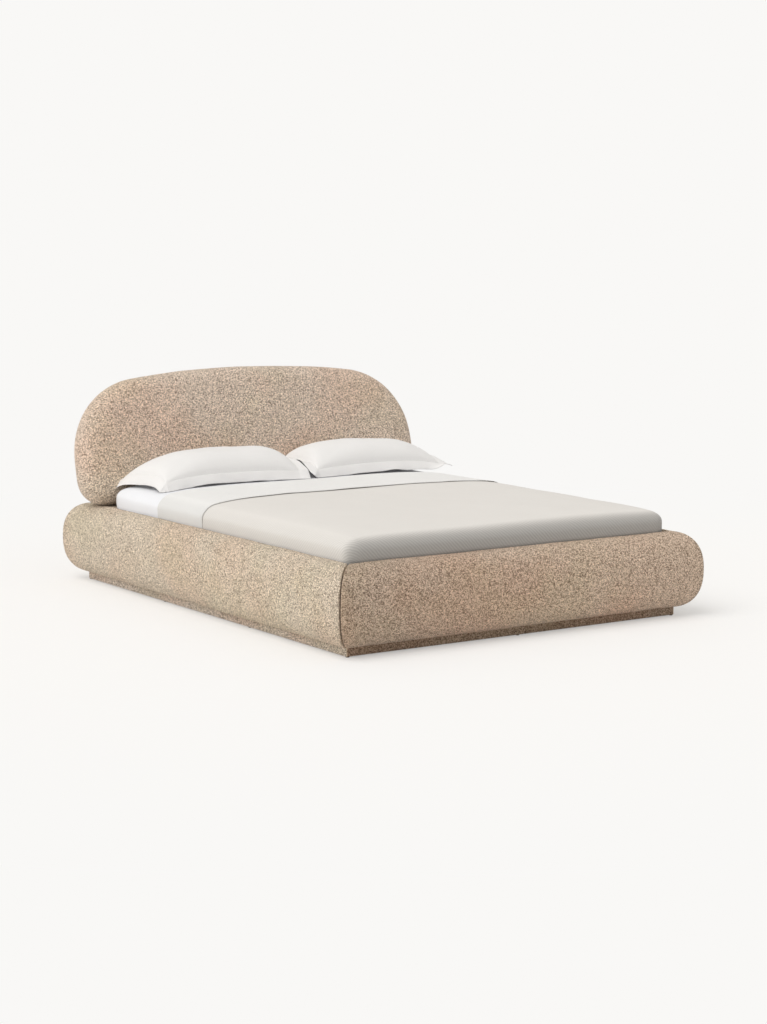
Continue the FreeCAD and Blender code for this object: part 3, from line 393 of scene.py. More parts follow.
def build_stitches():
    """Rounded stitches at even steps along a line, each turned along it."""
    tree, given, out, line = sewing_tree("stitch_line", ("Spacing", "Stitch Length", "Thread Radius"))
    steps = add(tree, "GeometryNodeResampleCurve", {"Curve": line, "Length": given["Spacing"]},
                mode="LENGTH")
    bead = add(tree, "GeometryNodeMeshUVSphere",
               {"Segments": 8, "Rings": 5, "Radius": given["Thread Radius"]})
    thick = calc(tree, "MULTIPLY", given["Thread Radius"], 2.0)
    share = calc(tree, "DIVIDE", given["Stitch Length"], thick)
    long = add(tree, "ShaderNodeCombineXYZ", {0: share, 1: 1.0, 2: 1.0}).outputs[0]
    stitch = add(tree, "GeometryNodeTransform", {"Geometry": bead.outputs[0], "Scale": long}).outputs[0]
    ahead = add(tree, "GeometryNodeInputTangent").outputs[0]
    turned = add(tree, "FunctionNodeAlignRotationToVector", {"Vector": ahead}, axis="X").outputs[0]
    row = add(tree, "GeometryNodeInstanceOnPoints", {"Points": steps.outputs[0], "Instance": stitch,
                                                     "Rotation": turned}).outputs[0]
    return close_tree(tree, given, out, row)


def build_piping():
    """A round cord carried along a line."""
    tree, given, out, line = sewing_tree("piping", ("Cord Radius",))
    ring = add(tree, "GeometryNodeCurvePrimitiveCircle",
               {"Resolution": 10, "Radius": given["Cord Radius"]}).outputs[0]
    cord = add(tree, "GeometryNodeCurveToMesh", {"Curve": line, "Profile Curve": ring}).outputs[0]
    return close_tree(tree, given, out, cord)


STITCHES = build_stitches()
PIPING = build_piping()
print("sewing trees:", len(STITCHES.nodes), "and", len(PIPING.nodes), "nodes")

# %% [markdown]
# ## Sewing a line
#
# A line of points becomes an edge chain that carries the tree as a modifier. The result is copied
# to a plain mesh and the modifier is taken away, so that the piece is an ordinary one.

# %% Sew a line
STITCH = {"Spacing": 0.0062, "Stitch Length": 0.0042, "Thread Radius": 0.0005}


def sewn(name, tree, points, closed, sizes, finish, body):
    """A plain mesh of stitches or piping along a line of points."""
    edges = [(n, n + 1) for n in range(len(points) - 1)]
    if closed:
        edges.append((len(points) - 1, 0))
    mesh = bpy.data.meshes.new(name)
    mesh.from_pydata(points, edges, [])
    piece = bpy.data.objects.new(name, mesh)
    bpy.context.collection.objects.link(piece)
    sewing = piece.modifiers.new("sewing", "NODES")
    sewing.node_group = tree
    for socket in tree.interface.items_tree:
        if socket.in_out == "INPUT" and socket.name in sizes:
            sewing[socket.identifier] = sizes[socket.name]
        if socket.in_out == "INPUT" and socket.name == "Finish":
            sewing[socket.identifier] = finish
    result = bpy.data.meshes.new_from_object(piece.evaluated_get(bpy.context.evaluated_depsgraph_get()))
    piece.modifiers.clear()
    piece.data = result
    result.polygons.foreach_set("use_smooth", [True] * len(result.polygons))
    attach(piece, body)
    print(name, len(result.polygons), "faces")


print("one stitch every", STITCH["Spacing"], "m")

# %% [markdown]
# ## Upholstered rails
#
# Each rail is a board wrapped in foam and fabric: flat behind, round-nosed in front. Its nose is
# fuller than half an ellipse and softer than a box. A superellipse gives that form with a single
# number, the fullness: 2 is a plain ellipse, and a higher number is squarer. The section is drawn
# once as a closed line of points with their outward directions.

# %% The rail's section
left_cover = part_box("left_rail_cover")
foot_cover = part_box("foot_rail_cover")
HALF_WIDTH = -left_cover[0][0]
HALF_LENGTH = -foot_cover[0][1]
RAIL_LOW = foot_cover[0][2]
RAIL_TOP = foot_cover[1][2]
RAIL_DEPTH = foot_cover[1][1] - foot_cover[0][1]
FULLNESS = 2.4
PAD_TOP = RAIL_TOP + 0.002
PAD_LOW = RAIL_LOW - 0.014
COVER = 0.003
COVER_RETURN = 0.030
SKIN_GAP = 0.0005


def rail_section(steps):
    """Points (depth behind the nose, height) round the D and over the board's face, with normals."""
    half, middle = (PAD_TOP - PAD_LOW) / 2, (PAD_LOW + PAD_TOP) / 2
    points = []
    for number in range(4 * steps + 1):
        angle = math.pi / 2 - math.pi * number / (4 * steps)
        deep = max(0.0, math.cos(angle)) ** (2 / FULLNESS)
        high = abs(math.sin(angle)) ** (2 / FULLNESS)
        out = Vector((-deep ** (FULLNESS - 1) / RAIL_DEPTH,
                      math.copysign(high ** (FULLNESS - 1) / half, angle))).normalized()
        points.append((RAIL_DEPTH * (1 - deep), middle + math.copysign(half * high, angle), out.x, out.y))
    board_face = RAIL_DEPTH - COVER - SKIN_GAP
    behind = [(RAIL_DEPTH, PAD_LOW + 0.002), (RAIL_DEPTH, RAIL_LOW + COVER_RETURN / 2),
              (RAIL_DEPTH, RAIL_LOW + COVER_RETURN), (board_face, RAIL_LOW + COVER_RETURN),
              (board_face, middle), (board_face, RAIL_TOP - COVER_RETURN),
              (RAIL_DEPTH, RAIL_TOP - COVER_RETURN), (RAIL_DEPTH, RAIL_TOP - COVER_RETURN / 2),
              (RAIL_DEPTH, PAD_TOP - 0.002)]
    points += [(depth, height, 0.0, 0.0) for depth, height in behind]
    return points


print("rails are", round(RAIL_DEPTH, 3), "m deep and", round(PAD_TOP - PAD_LOW, 3), "m high")

# %% [markdown]
# ## Shape helpers
#
# Every soft piece is built as a bmesh at its own place and needs the same few things: an object
# with its materials, a gentle unevenness, a soft start and end, and faces between rings of points.

# %% Shape helpers
def new_piece(name, bm, *finishes):
    """An object at the origin made from a bmesh, with its materials."""
    mesh = bpy.data.meshes.new(name)
    bm.to_mesh(mesh)
    bm.free()
    for finish in finishes:
        mesh.materials.append(finish)
    piece = bpy.data.objects.new(name, mesh)
    bpy.context.collection.objects.link(piece)
    mesh.polygons.foreach_set("use_smooth", [True] * len(mesh.polygons))
    return piece


def soft_wave(place, reach, height, seed):
    """A gentle rise and fall, in metres, at a place."""
    return height * noise.noise(Vector(place) / reach + Vector((seed, 2 * seed, -seed)))


def eased(value):
    """A share held between 0 and 1, with a soft start and end."""
    share = min(1.0, max(0.0, value))
    return share * share * (3 - 2 * share)


def bridge(bm, rings):
    """Joins each ring of points to the next one with four-sided faces."""
    for before, after in zip(rings, rings[1:]):
        for number in range(len(before)):
            following = (number + 1) % len(before)
            bm.faces.new((before[number], before[following], after[following], after[number]))


print("shape helpers ready")

# %% [markdown]
# ## Carrying the section along each rail
#
# The section is carried along the rail, and both ends stop at a 45 degree mitre. Near the mitre
# it shrinks along a small arc, which rolls the fabric into the seam and leaves the fine dark line
# that a sewn corner has. Two layers of gentle noise lift the surface a millimetre or two, because
# fabric over foam is never quite flat. The noise calms down towards the seam, so that it stays
# straight.

# %% Make the rails
SEAM_ROLL = 0.010
SEAM_GAP = 0.0032
ROLL_STEPS = (0.0, 0.0006, 0.002, 0.0042)
RAIL_STEP = 0.016
SEAM_CALM = 0.03


def upholstered_rail(name, turn, half_run, half_reach, seed):
    """One rail's foam and fabric, drawn as the foot rail and turned to its side."""
    section = rail_section(14)
    rolls = [(step, SEAM_ROLL - math.sqrt(max(0.0, SEAM_ROLL ** 2 - (SEAM_ROLL - step) ** 2)))
             for step in ROLL_STEPS]
    count = round(2 * (half_run - RAIL_DEPTH) / RAIL_STEP)
    bm = bmesh.new()
    rings = []
    spin = Matrix.Rotation(math.radians(turn), 3, "Z")

    def ring(end, offset, shrink, share=None):
        """One section: at an end's mitre, or at a share of the rail's length."""
        made = []
        for depth, height, out_depth, out_height in section:
            d = depth - out_depth * shrink
            h = height - out_height * shrink
            limit = half_run - d
            along = end * (limit - offset) if share is None else (2 * share - 1) * (limit - SEAM_ROLL)
            swell = 0.0
            if out_depth or out_height:
                swell = soft_wave((along, d, h), 0.22, 0.0022, seed)
                swell += soft_wave((along, d, h), 0.06, 0.0009, seed)
                swell *= min(1.0, (limit - abs(along)) / SEAM_CALM)
            place = Vector((along, -half_reach + d + out_depth * swell, h + out_height * swell))
            made.append(bm.verts.new(spin @ place))
        rings.append(made)

    for offset, shrink in rolls:
        ring(-1, offset + SEAM_GAP, shrink)
    for number in range(count + 1):
        ring(0, 0, 0.0, number / count)
    for offset, shrink in reversed(rolls):
        ring(1, offset + SEAM_GAP, shrink)
    bridge(bm, rings)
    bm.faces.new(list(reversed(rings[0])))
    bm.faces.new(rings[-1])
    bmesh.ops.recalc_face_normals(bm, faces=bm.faces)
    side = name.split("_")[0]
    piece = new_piece(name, bm, boucle_foot if side == "foot" else boucle_rails)
    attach(piece, "frame")
    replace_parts(piece, f"{side}_rail_cover", f"{side}_rail_foam")
    return piece


rails = [upholstered_rail("foot_rail_upholstery", 0, HALF_WIDTH, HALF_LENGTH, 1.3),
         upholstered_rail("right_rail_upholstery", 90, HALF_LENGTH, HALF_WIDTH, 4.1),
         upholstered_rail("head_rail_upholstery", 180, HALF_WIDTH, HALF_LENGTH, 7.7),
         upholstered_rail("left_rail_upholstery", 270, HALF_LENGTH, HALF_WIDTH, 9.2)]
print("rails:", [len(rail.data.polygons) for rail in rails])

# %% [markdown]
# ## Plinth
#
# The recessed plinth is a low box of boards with the same fabric pulled round it. Its wrap is a
# band with eased corners, made like a picture frame: one closed section carried round the
# plinth's rounded plan. Its main finish is a much darker tone of the fabric, painted shade for the
# shade under the rails. Its faces along the two long sides take a second, lighter finish, painted
# light which makes up for the deep shade that one lamp leaves under the rails.

# %% Plinth wrap
PLINTH_LOW, PLINTH_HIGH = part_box("plinth_wrap")
WRAP = 0.003
PLINTH_CORNER = 0.012
CORNER_STEPS = 6


def rounded_plan(half_x, half_y, radius, spacing):
    """Points and outward directions round a rectangle with round corners, anticlockwise."""
    points = []
    for turn, along_x in ((0, False), (90, True), (180, False), (270, True)):
        out = Vector((math.cos(math.radians(turn)), math.sin(math.radians(turn))))
        side = Vector((-out.y, out.x))
        reach = half_y if along_x else half_x
        span = (half_x if along_x else half_y) - radius
        count = max(1, round(2 * span / spacing))
        for number in range(count):
            points.append((out * reach + side * span * (2 * number / count - 1), out.copy()))
        centre = out * (reach - radius) + side * span
        for number in range(CORNER_STEPS):
            angle = math.radians(turn + 90 * number / CORNER_STEPS)
            way = Vector((math.cos(angle), math.sin(angle)))
            points.append((centre + way * radius, way))
    return points


def swept_band(bm, plan, section, wave_seed):
    """Carries a closed section of (outward, height) round a plan of points; its face waves softly."""
    rings = []
    for spot, way in plan:
        ring = []
        for outward, height in section:
            swell = 0.0
            if outward > -0.001:
                swell = soft_wave((spot.x, spot.y, height), 0.05, 0.0008, wave_seed)
            flat = spot + way * (outward + swell)
            ring.append(bm.verts.new((flat.x, flat.y, height)))
        rings.append(ring)
    for before, after in zip(rings, rings[1:] + rings[:1]):
        for number in range(len(section)):
            following = (number + 1) % len(section)
            bm.faces.new((before[number], after[number], after[following], before[following]))
    bmesh.ops.recalc_face_normals(bm, faces=bm.faces)


low, high = PLINTH_LOW[2], PLINTH_HIGH[2]
wrap_section = [(-0.0015, low), (0, low + 0.002), (0, low + 0.015), (0, (low + high) / 2),
                (0, high - 0.012), (0, high), (-WRAP, high), (-WRAP, (low + high) / 2), (-WRAP, low)]
bm = bmesh.new()
swept_band(bm, rounded_plan(PLINTH_HIGH[0], PLINTH_HIGH[1], PLINTH_CORNER, 0.03), wrap_section, 3.1)
bm.normal_update()
for face in bm.faces:
    # Faces towards the long sides take the lighter finish, as painted light.
    face.material_index = 1 if abs(face.normal.x) > abs(face.normal.y) else 0
plinth_band = new_piece("plinth_band", bm, boucle_plinth, boucle_plinth_side)
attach(plinth_band, "frame")
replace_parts(plinth_band, "plinth_wrap")
print("plinth band:", len(plinth_band.data.polygons), "faces")

# %% [markdown]
# ## Headboard
#
# The headboard is a pebble: a flat core under thick foam, with every edge rounded over. Its
# outline is a chain of arcs that meet smoothly: a small one at the foot, a nearly straight side,
# a shoulder and a very flat crown. The shoulder's centre is where two circles cross, so that it
# touches both of its neighbours.

# %% Headboard outline
HEAD_LOW, HEAD_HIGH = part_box("headboard_cover")
HEAD_HALF = HEAD_HIGH[0]
HEAD_RISE = 0.627
HEAD_THICK = 0.160
HEAD_EDGE = 0.077
BASE_ARC, SIDE_ARC, SHOULDER_ARC, CROWN_ARC = 0.120, 5.0, 0.369, 5.09
LEAN = math.radians(13)
rim_out = HEAD_THICK / 2 - HEAD_EDGE
HEAD_Y = HEAD_LOW[1] + HEAD_EDGE + rim_out * math.cos(LEAN) - HEAD_EDGE * math.sin(LEAN)
HEAD_Z = HEAD_LOW[2] + HEAD_EDGE - rim_out * math.sin(LEAN) - HEAD_EDGE * math.cos(LEAN)


def pebble_outline(inset, spacing):
    """Points (across, up) of the outline moved inwards, anticlockwise from the foot."""
    base, side = BASE_ARC - inset, SIDE_ARC - inset
    shoulder, crown = SHOULDER_ARC - inset, CROWN_ARC - inset
    half, top = HEAD_HALF - inset, HEAD_RISE - inset
    crown_at = Vector((0, top - crown))
    side_at = Vector((half - side, BASE_ARC))
    gap = side_at - crown_at
    along = ((crown - shoulder) ** 2 - (side - shoulder) ** 2 + gap.length ** 2) / (2 * gap.length)
    off = math.sqrt((crown - shoulder) ** 2 - along ** 2)
    unit = gap.normalized()
    spots = [crown_at + unit * along + Vector((unit.y, -unit.x)) * off * hand for hand in (1, -1)]
    shoulder_at = max(spots, key=lambda spot: spot.x)
    high = math.atan2(*reversed(shoulder_at - crown_at))
    low = math.atan2(*reversed(shoulder_at - side_at))
    arcs = [((half - base, BASE_ARC), base, -math.pi / 2, 0), (side_at, side, 0, low),
            (shoulder_at, shoulder, low, high), (crown_at, crown, high, math.pi / 2)]
    right = []
    for centre, radius, start, end in arcs:
        steps = max(3, round((radius + inset) * (end - start) / spacing))
        for number in range(steps):
            angle = start + (end - start) * number / steps
            right.append((centre[0] + radius * math.cos(angle), centre[1] + radius * math.sin(angle)))
    foot = [(x * right[0][0], inset) for x in (-0.6, -0.2, 0.2, 0.6)]
    return foot + right + [(0, top)] + [(-x, up) for x, up in reversed(right)]


def leaned(across, forward, up):
    """A place on the headboard: forward is towards the foot of the bed, up is along the slope."""
    return Vector((across, HEAD_Y - forward * math.cos(LEAN) + up * math.sin(LEAN),
                   HEAD_Z + forward * math.sin(LEAN) + up * math.cos(LEAN)))


print("headboard:", round(2 * HEAD_HALF, 3), "m wide, leaning", round(math.degrees(LEAN)), "degrees")

# %% [markdown]
# ## The headboard's form
#
# Rings of the outline, each moved inwards and forwards, give the rounded rim. A voxel remesh then
# lays an even skin of small squares over the whole form, which can be crowned and rippled without
# pinching. The form is shaped upright and leaned back at the end.

# %% Headboard form
RIM_STEPS = 9
CROWN_PUFF = 0.009
SKIN_SQUARE = 0.009
OUTLINE_STEP = 0.03

bm = bmesh.new()
levels = [(HEAD_EDGE * (1 - math.cos(math.pi / 2 * step / RIM_STEPS)),
           rim_out + HEAD_EDGE * math.sin(math.pi / 2 * step / RIM_STEPS)) for step in range(RIM_STEPS + 1)]
levels = [(inset, -forward) for inset, forward in reversed(levels)] + levels
rings = [[bm.verts.new((x, -forward, up)) for x, up in pebble_outline(inset, OUTLINE_STEP)]
         for inset, forward in levels]
bridge(bm, rings)
bm.faces.new(rings[0])
bm.faces.new(list(reversed(rings[-1])))
bmesh.ops.recalc_face_normals(bm, faces=bm.faces)
headboard = new_piece("headboard_upholstery", bm, boucle_head)
remesh = headboard.modifiers.new("even skin", "REMESH")
remesh.mode = "VOXEL"
remesh.voxel_size = SKIN_SQUARE
skin = bpy.data.meshes.new_from_object(headboard.evaluated_get(bpy.context.evaluated_depsgraph_get()))
headboard.modifiers.clear()
headboard.data = skin
outline = pebble_outline(0, OUTLINE_STEP)


def edge_distance(across, up):
    """How far a point of the face lies inside the outline."""
    nearest = 1.0
    for (ax, az), (bx, bz) in zip(outline, outline[1:] + outline[:1]):
        run_x, run_z = bx - ax, bz - az
        share = ((across - ax) * run_x + (up - az) * run_z) / (run_x ** 2 + run_z ** 2)
        share = min(1.0, max(0.0, share))
        nearest = min(nearest, math.hypot(across - ax - share * run_x, up - az - share * run_z))
    return nearest


bm = bmesh.new()
bm.from_mesh(skin)
for _ in range(3):
    bmesh.ops.smooth_vert(bm, verts=bm.verts, factor=0.5,
                          use_axis_x=True, use_axis_y=True, use_axis_z=True)
bm.normal_update()
for vert in bm.verts:
    inside = edge_distance(vert.co.x, vert.co.z)
    puff = CROWN_PUFF * eased((inside - 0.03) / 0.22) if vert.co.y < 0 else 0.0
    ripple = soft_wave(vert.co, 0.26, 0.003, 2.2) + soft_wave(vert.co, 0.07, 0.0009, 5.5)
    vert.co += vert.normal * (ripple - 0.001)
    vert.co.y -= puff
for vert in bm.verts:
    vert.co = leaned(vert.co.x, -vert.co.y, vert.co.z)
bm.to_mesh(skin)
bm.free()
skin.polygons.foreach_set("use_smooth", [True] * len(skin.polygons))
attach(headboard, "frame")
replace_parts(headboard, "headboard_cover", "headboard_foam")
print("headboard:", len(skin.polygons), "faces")

# %% [markdown]
# ## Headboard piping
#
# The front cover meets the back panel in a seam round the rim's rear shoulder, which hides a thin
# piping cord. The cord follows the same outline, moved inwards to where the rim has curved away.

# %% Headboard piping
BACK_SEAM = 0.050
PIPING_RADIUS = 0.0045
back_turn = math.acos(1 - BACK_SEAM / HEAD_EDGE)
back_plane = rim_out + HEAD_EDGE * math.sin(back_turn) - 0.002
seam_line = [leaned(x, -back_plane, up) for x, up in pebble_outline(BACK_SEAM, 0.02)]
sewn("headboard_piping", PIPING, seam_line, True, {"Cord Radius": PIPING_RADIUS}, boucle_head, "frame")

# %% [markdown]
# ## Head deck
#
# Between the mattress and the head rail lies a low upholstered board, on which the headboard
# stands. It is a box with generous rounding on its upper edges.

# %% Deck pad
DECK_LOW, DECK_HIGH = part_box("deck_pad")
DECK_EASE = 0.009
DECK_CORNER = 0.02
bm = bmesh.new()
deck_section = [(-0.02, DECK_LOW[2]), (0, DECK_LOW[2] + 0.002)]
for step in range(6):
    angle = math.pi / 2 * step / 5
    deck_section.append((DECK_EASE * (math.cos(angle) - 1),
                         DECK_HIGH[2] - DECK_EASE + DECK_EASE * math.sin(angle)))
deck_mid = Vector(((DECK_LOW[0] + DECK_HIGH[0]) / 2, (DECK_LOW[1] + DECK_HIGH[1]) / 2))
deck_half = ((DECK_HIGH[0] - DECK_LOW[0]) / 2, (DECK_HIGH[1] - DECK_LOW[1]) / 2)
deck_plan = [(spot + deck_mid, way) for spot, way in rounded_plan(*deck_half, DECK_CORNER, 0.02)]
rings = [[bm.verts.new((spot.x + way.x * out, spot.y + way.y * out, height)) for spot, way in deck_plan]
         for out, height in deck_section]
bridge(bm, rings)
bm.faces.new(rings[0])
bm.faces.new(list(reversed(rings[-1])))
bmesh.ops.recalc_face_normals(bm, faces=bm.faces)
deck = new_piece("deck_upholstery", bm, boucle_rails)
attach(deck, "frame")
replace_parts(deck, "deck_pad")
print("deck:", len(deck.data.polygons), "faces")

# %% [markdown]
# ## Cloth finishes
#
# The bedding is cotton and linen. Woven cloth shows two crossing sets of threads, so each finish
# gets a weave in the cloth's own flat coordinates, in metres, which the pieces carry as a UV map.
# The cover's face has fine diagonal ribs, and its turned-back end shows the plain reverse.

# %% Weave group
PLAIN_RIB_SHADE = 0.03


def build_weave():
    """The shade and height of woven cloth: crossing threads or slanting ribs, slubs and soft cloud."""
    tree, given, out = shader_group(
        "woven_cloth",
        {"Vector": ("Vector", None), "Thread": ("Float", 0.002), "Rib": ("Float", 0.007),
         "Rib Share": ("Float", 0.0), "Rib Shade": ("Float", PLAIN_RIB_SHADE),
         "Tone": ("Color", (0.8, 0.8, 0.8, 1))},
        {"Color": "Color", "Height": "Float"})
    parts = add(tree, "ShaderNodeSeparateXYZ", {0: given["Vector"]}).outputs
    wander = grain_noise(tree, given["Vector"], 9.0, 3.0, 0.6)
    slant = calc(tree, "ADD", calc(tree, "ADD", parts[0], parts[1]), calc(tree, "MULTIPLY", wander, 0.030))

    def waves(along, spacing):
        """Threads or ribs at even steps, from -1 to 1."""
        return calc(tree, "SINE", calc(tree, "MULTIPLY", calc(tree, "DIVIDE", along, spacing), math.tau))

    plain = calc(tree, "MULTIPLY", waves(parts[0], given["Thread"]), waves(parts[1], given["Thread"]))
    rib = waves(slant, given["Rib"])
    chosen = calc(tree, "MULTIPLY_ADD", calc(tree, "SUBTRACT", rib, plain), given["Rib Share"], plain)
    slub = grain_noise(tree, given["Vector"], 260.0, 2.0, 0.7)
    broad = grain_noise(tree, given["Vector"], 5.0, 3.0, 0.6)
    depth = calc(tree, "MULTIPLY_ADD", given["Rib Share"], given["Rib Shade"], 0.015)
    light = calc(tree, "MULTIPLY_ADD", chosen, depth, 1.0)
    light = calc(tree, "MULTIPLY_ADD", calc(tree, "SUBTRACT", slub, 0.5), 0.10, light)
    light = calc(tree, "MULTIPLY_ADD", calc(tree, "SUBTRACT", broad, 0.5), 0.05, light)
    tree.links.new(tint(tree, 1.0, given["Tone"], light, "MULTIPLY"), out["Color"])
    height = calc(tree, "MULTIPLY_ADD", chosen, 0.5, calc(tree, "MULTIPLY", slub, 0.8))
    tree.links.new(height, out["Height"])
    return tree


woven_cloth = build_weave()
print("woven cloth group:", len(woven_cloth.nodes), "nodes")

# %% [markdown]
# ## The bedding's finishes
#
# Each cloth is the same group with its own thread, tone and ribs. The cover is written darker
# where it hangs down at the foot and the sides, because those faces stand in softer light than
# one lamp gives them. A smooth step across the edge's bend, read from the cloth's place in
# metres, makes that change of tone.

# %% Cloth finishes
FOOT_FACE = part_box("bedcover")[0].y
SIDE_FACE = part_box("bedcover")[1].x
FOOT_RIB_SHADE = 0.080
THREAD_HEIGHT = 0.0004


def cloth(name, tone, thread, rib_share=0.0, rib=0.007, foot_shade=1.0, side_shade=1.0):
    """A woven finish; shades below 1 deepen it where it hangs at the bed's foot and sides."""
    made, tree, surface = material(name)
    rib_shade = PLAIN_RIB_SHADE
    place = add(tree, "ShaderNodeTexCoord").outputs["Object"]
    across, along, _ = add(tree, "ShaderNodeSeparateXYZ", {0: place}).outputs
    if side_shade < 1:
        outward = calc(tree, "ABSOLUTE", across)
        side = spread(tree, outward, SIDE_FACE - 0.060, SIDE_FACE - 0.010, 1.0, side_shade)
        tone = tint(tree, 1.0, tone, side, "MULTIPLY")
    if foot_shade < 1:
        lit = spread(tree, along, FOOT_FACE, FOOT_FACE + 0.065, foot_shade, 1.0)
        tone = tint(tree, 1.0, tone, lit, "MULTIPLY")
        rib_shade = spread(tree, along, FOOT_FACE, FOOT_FACE + 0.16, FOOT_RIB_SHADE, PLAIN_RIB_SHADE)
    flat = add(tree, "ShaderNodeUVMap", uv_map="cloth").outputs["UV"]
    weave = use_group(tree, woven_cloth, {"Vector": flat, "Thread": thread, "Rib": rib,
                                          "Rib Share": rib_share, "Rib Shade": rib_shade, "Tone": tone})
    tree.links.new(weave["Color"], surface.inputs["Base Color"])
    tree.links.new(bumped(tree, weave["Height"], THREAD_HEIGHT, 0.6), surface.inputs["Normal"])
    surface.inputs["Roughness"].default_value = 0.9
    surface.inputs["Specular IOR Level"].default_value = 0.2
    surface.inputs["Sheen Weight"].default_value = 0.1
    surface.inputs["Sheen Roughness"].default_value = 0.5
    return made


cover_face = cloth("cover_ribbed_face", (0.725, 0.70, 0.665, 1), 0.003, 1.0, 0.016, foot_shade=0.52,
                   side_shade=0.915)
cover_reverse = cloth("cover_plain_reverse", (0.81, 0.805, 0.79, 1), 0.002, side_shade=0.87)
sheet_cotton = cloth("white_percale", (0.83, 0.84, 0.87, 1), 0.001)
case_linen = cloth("washed_linen", (0.82, 0.81, 0.80, 1), 0.0015)
ticking = cloth("mattress_knit", (0.80, 0.80, 0.79, 1), 0.004, 0.4, 0.012)
print("cover's foot face is", round(-FOOT_FACE, 3), "m from the bed's middle")

# %% [markdown]
# ## Draped layers
#
# Mattress, sheet and cover lie on each other, so they share one resting shape: a top that is a
# little crowned, a fuller head end with squarer corners, and a foot end that the rail pinches in.
# One function gives that shift for any point, and every layer asks it.

# %% Resting shape
MATTRESS_LOW, MATTRESS_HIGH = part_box("mattress")
SHEET_LOW, SHEET_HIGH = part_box("fitted_sheet")
EDGE_OUT = 0.060
EDGE_DOWN = 0.036
CROWN_FALL = 0.036
CROWN_REACH = 0.12
CROWN_LIFT = 0.005
HEAD_BULGE = 0.017
HEAD_FALL = 0.30
HEAD_REACH = 0.05
HEAD_LIFT = 0.20
CORNER_POWER = 4.0
FOOT_PINCH = 0.010


def crowned(x, y):
    """How far a soft layer's level top is raised: a little in the middle, and lowered at its edges."""
    share = 1.0
    for inside in (MATTRESS_HIGH[0] - abs(x), y - MATTRESS_LOW[1]):
        share *= 1 - math.exp(-max(0.0, inside) / CROWN_REACH)
    share *= 1 - HEAD_FALL * math.exp(-max(0.0, MATTRESS_HIGH[1] - y) / HEAD_REACH)
    share += HEAD_LIFT * math.exp(-max(0.0, MATTRESS_HIGH[1] - y) / CROWN_REACH)
    return CROWN_FALL * share - (CROWN_FALL - CROWN_LIFT)


def settled(vert):
    """The crowned top's shift for any point, fading out down the sides, and the head end's bulge."""
    x, y, z = vert.co
    deep = MATTRESS_HIGH[2] - MATTRESS_LOW[2]
    share = eased((z - MATTRESS_LOW[2] - EDGE_DOWN) / (0.6 * deep))
    head = min(1.0, max(0.0, (y - MATTRESS_HIGH[1] + 0.06) / 0.06))
    level = (z - MATTRESS_LOW[2]) / deep
    bulge = HEAD_BULGE * head * math.exp(-((level - 0.76) / 0.17) ** 2)
    side = 0.0
    over_x, over_y = abs(x) - MATTRESS_HIGH[0] + EDGE_OUT, y - MATTRESS_HIGH[1] + EDGE_OUT
    if over_x > 0 and over_y > 0:
        reach = math.hypot(over_x, over_y)
        fuller = reach / (over_x ** CORNER_POWER + over_y ** CORNER_POWER) ** (1 / CORNER_POWER) - 1
        bulge += fuller * over_y
        side = math.copysign(fuller * over_x, x)
    foot = min(1.0, max(0.0, (MATTRESS_LOW[1] + 0.055 - y) / 0.055))
    pinch = FOOT_PINCH * foot * eased((RAIL_TOP + 0.034 - z) / 0.026)
    return Vector((side, bulge + pinch, crowned(x, y) * share))


print("mattress box:", [round(high - low, 3) for low, high in zip(MATTRESS_LOW, MATTRESS_HIGH)], "m")

# %% [markdown]
# ## Draping a flat cloth
#
# A cloth over a block has a flat top, an edge that bends over, and a side that runs down and may
# tuck under. One helper samples that path for any height and radius. Each sample keeps how far
# along the flat cloth it lies, so the cloth is neither stretched nor squeezed on its way down.

# %% The path over an edge
BENDS = 8


def edge_path(height, tuck=None, extra=0.0, step=0.014):
    """Samples (flat, out, down) of cloth over an edge, down a side and, with a tuck, under it."""
    wide, deep = EDGE_OUT + extra, EDGE_DOWN + extra
    quarter = [(wide * math.sin(math.pi / 2 * n / BENDS), deep * (1 - math.cos(math.pi / 2 * n / BENDS)))
               for n in range(BENDS + 1)]
    spots = list(quarter)
    straight = height - deep if tuck is None else height - 2 * deep
    count = max(1, round(straight / step))
    spots += [(wide, deep + straight * n / count) for n in range(1, count + 1)]
    if tuck is not None:
        spots += [(out, height - down) for out, down in reversed(quarter[:-1])]
        count = max(1, round(tuck / 0.03))
        spots += [(-tuck * n / count, height) for n in range(1, count + 1)]
    path = [(0.0, 0.0, 0.0)]
    for (out, down), (last_out, last_down) in zip(spots[1:], spots):
        path.append((path[-1][0] + math.hypot(out - last_out, down - last_down), out, down))
    return path


print("a path 0.2 m down has", len(edge_path(0.2)), "points")

# %% [markdown]
# ## Round the corners
#
# This class carries the path round the border of a flat grid, fanning out at each corner. It also
# writes the flat position of every point as a UV map, so that the weave runs true over the edges.

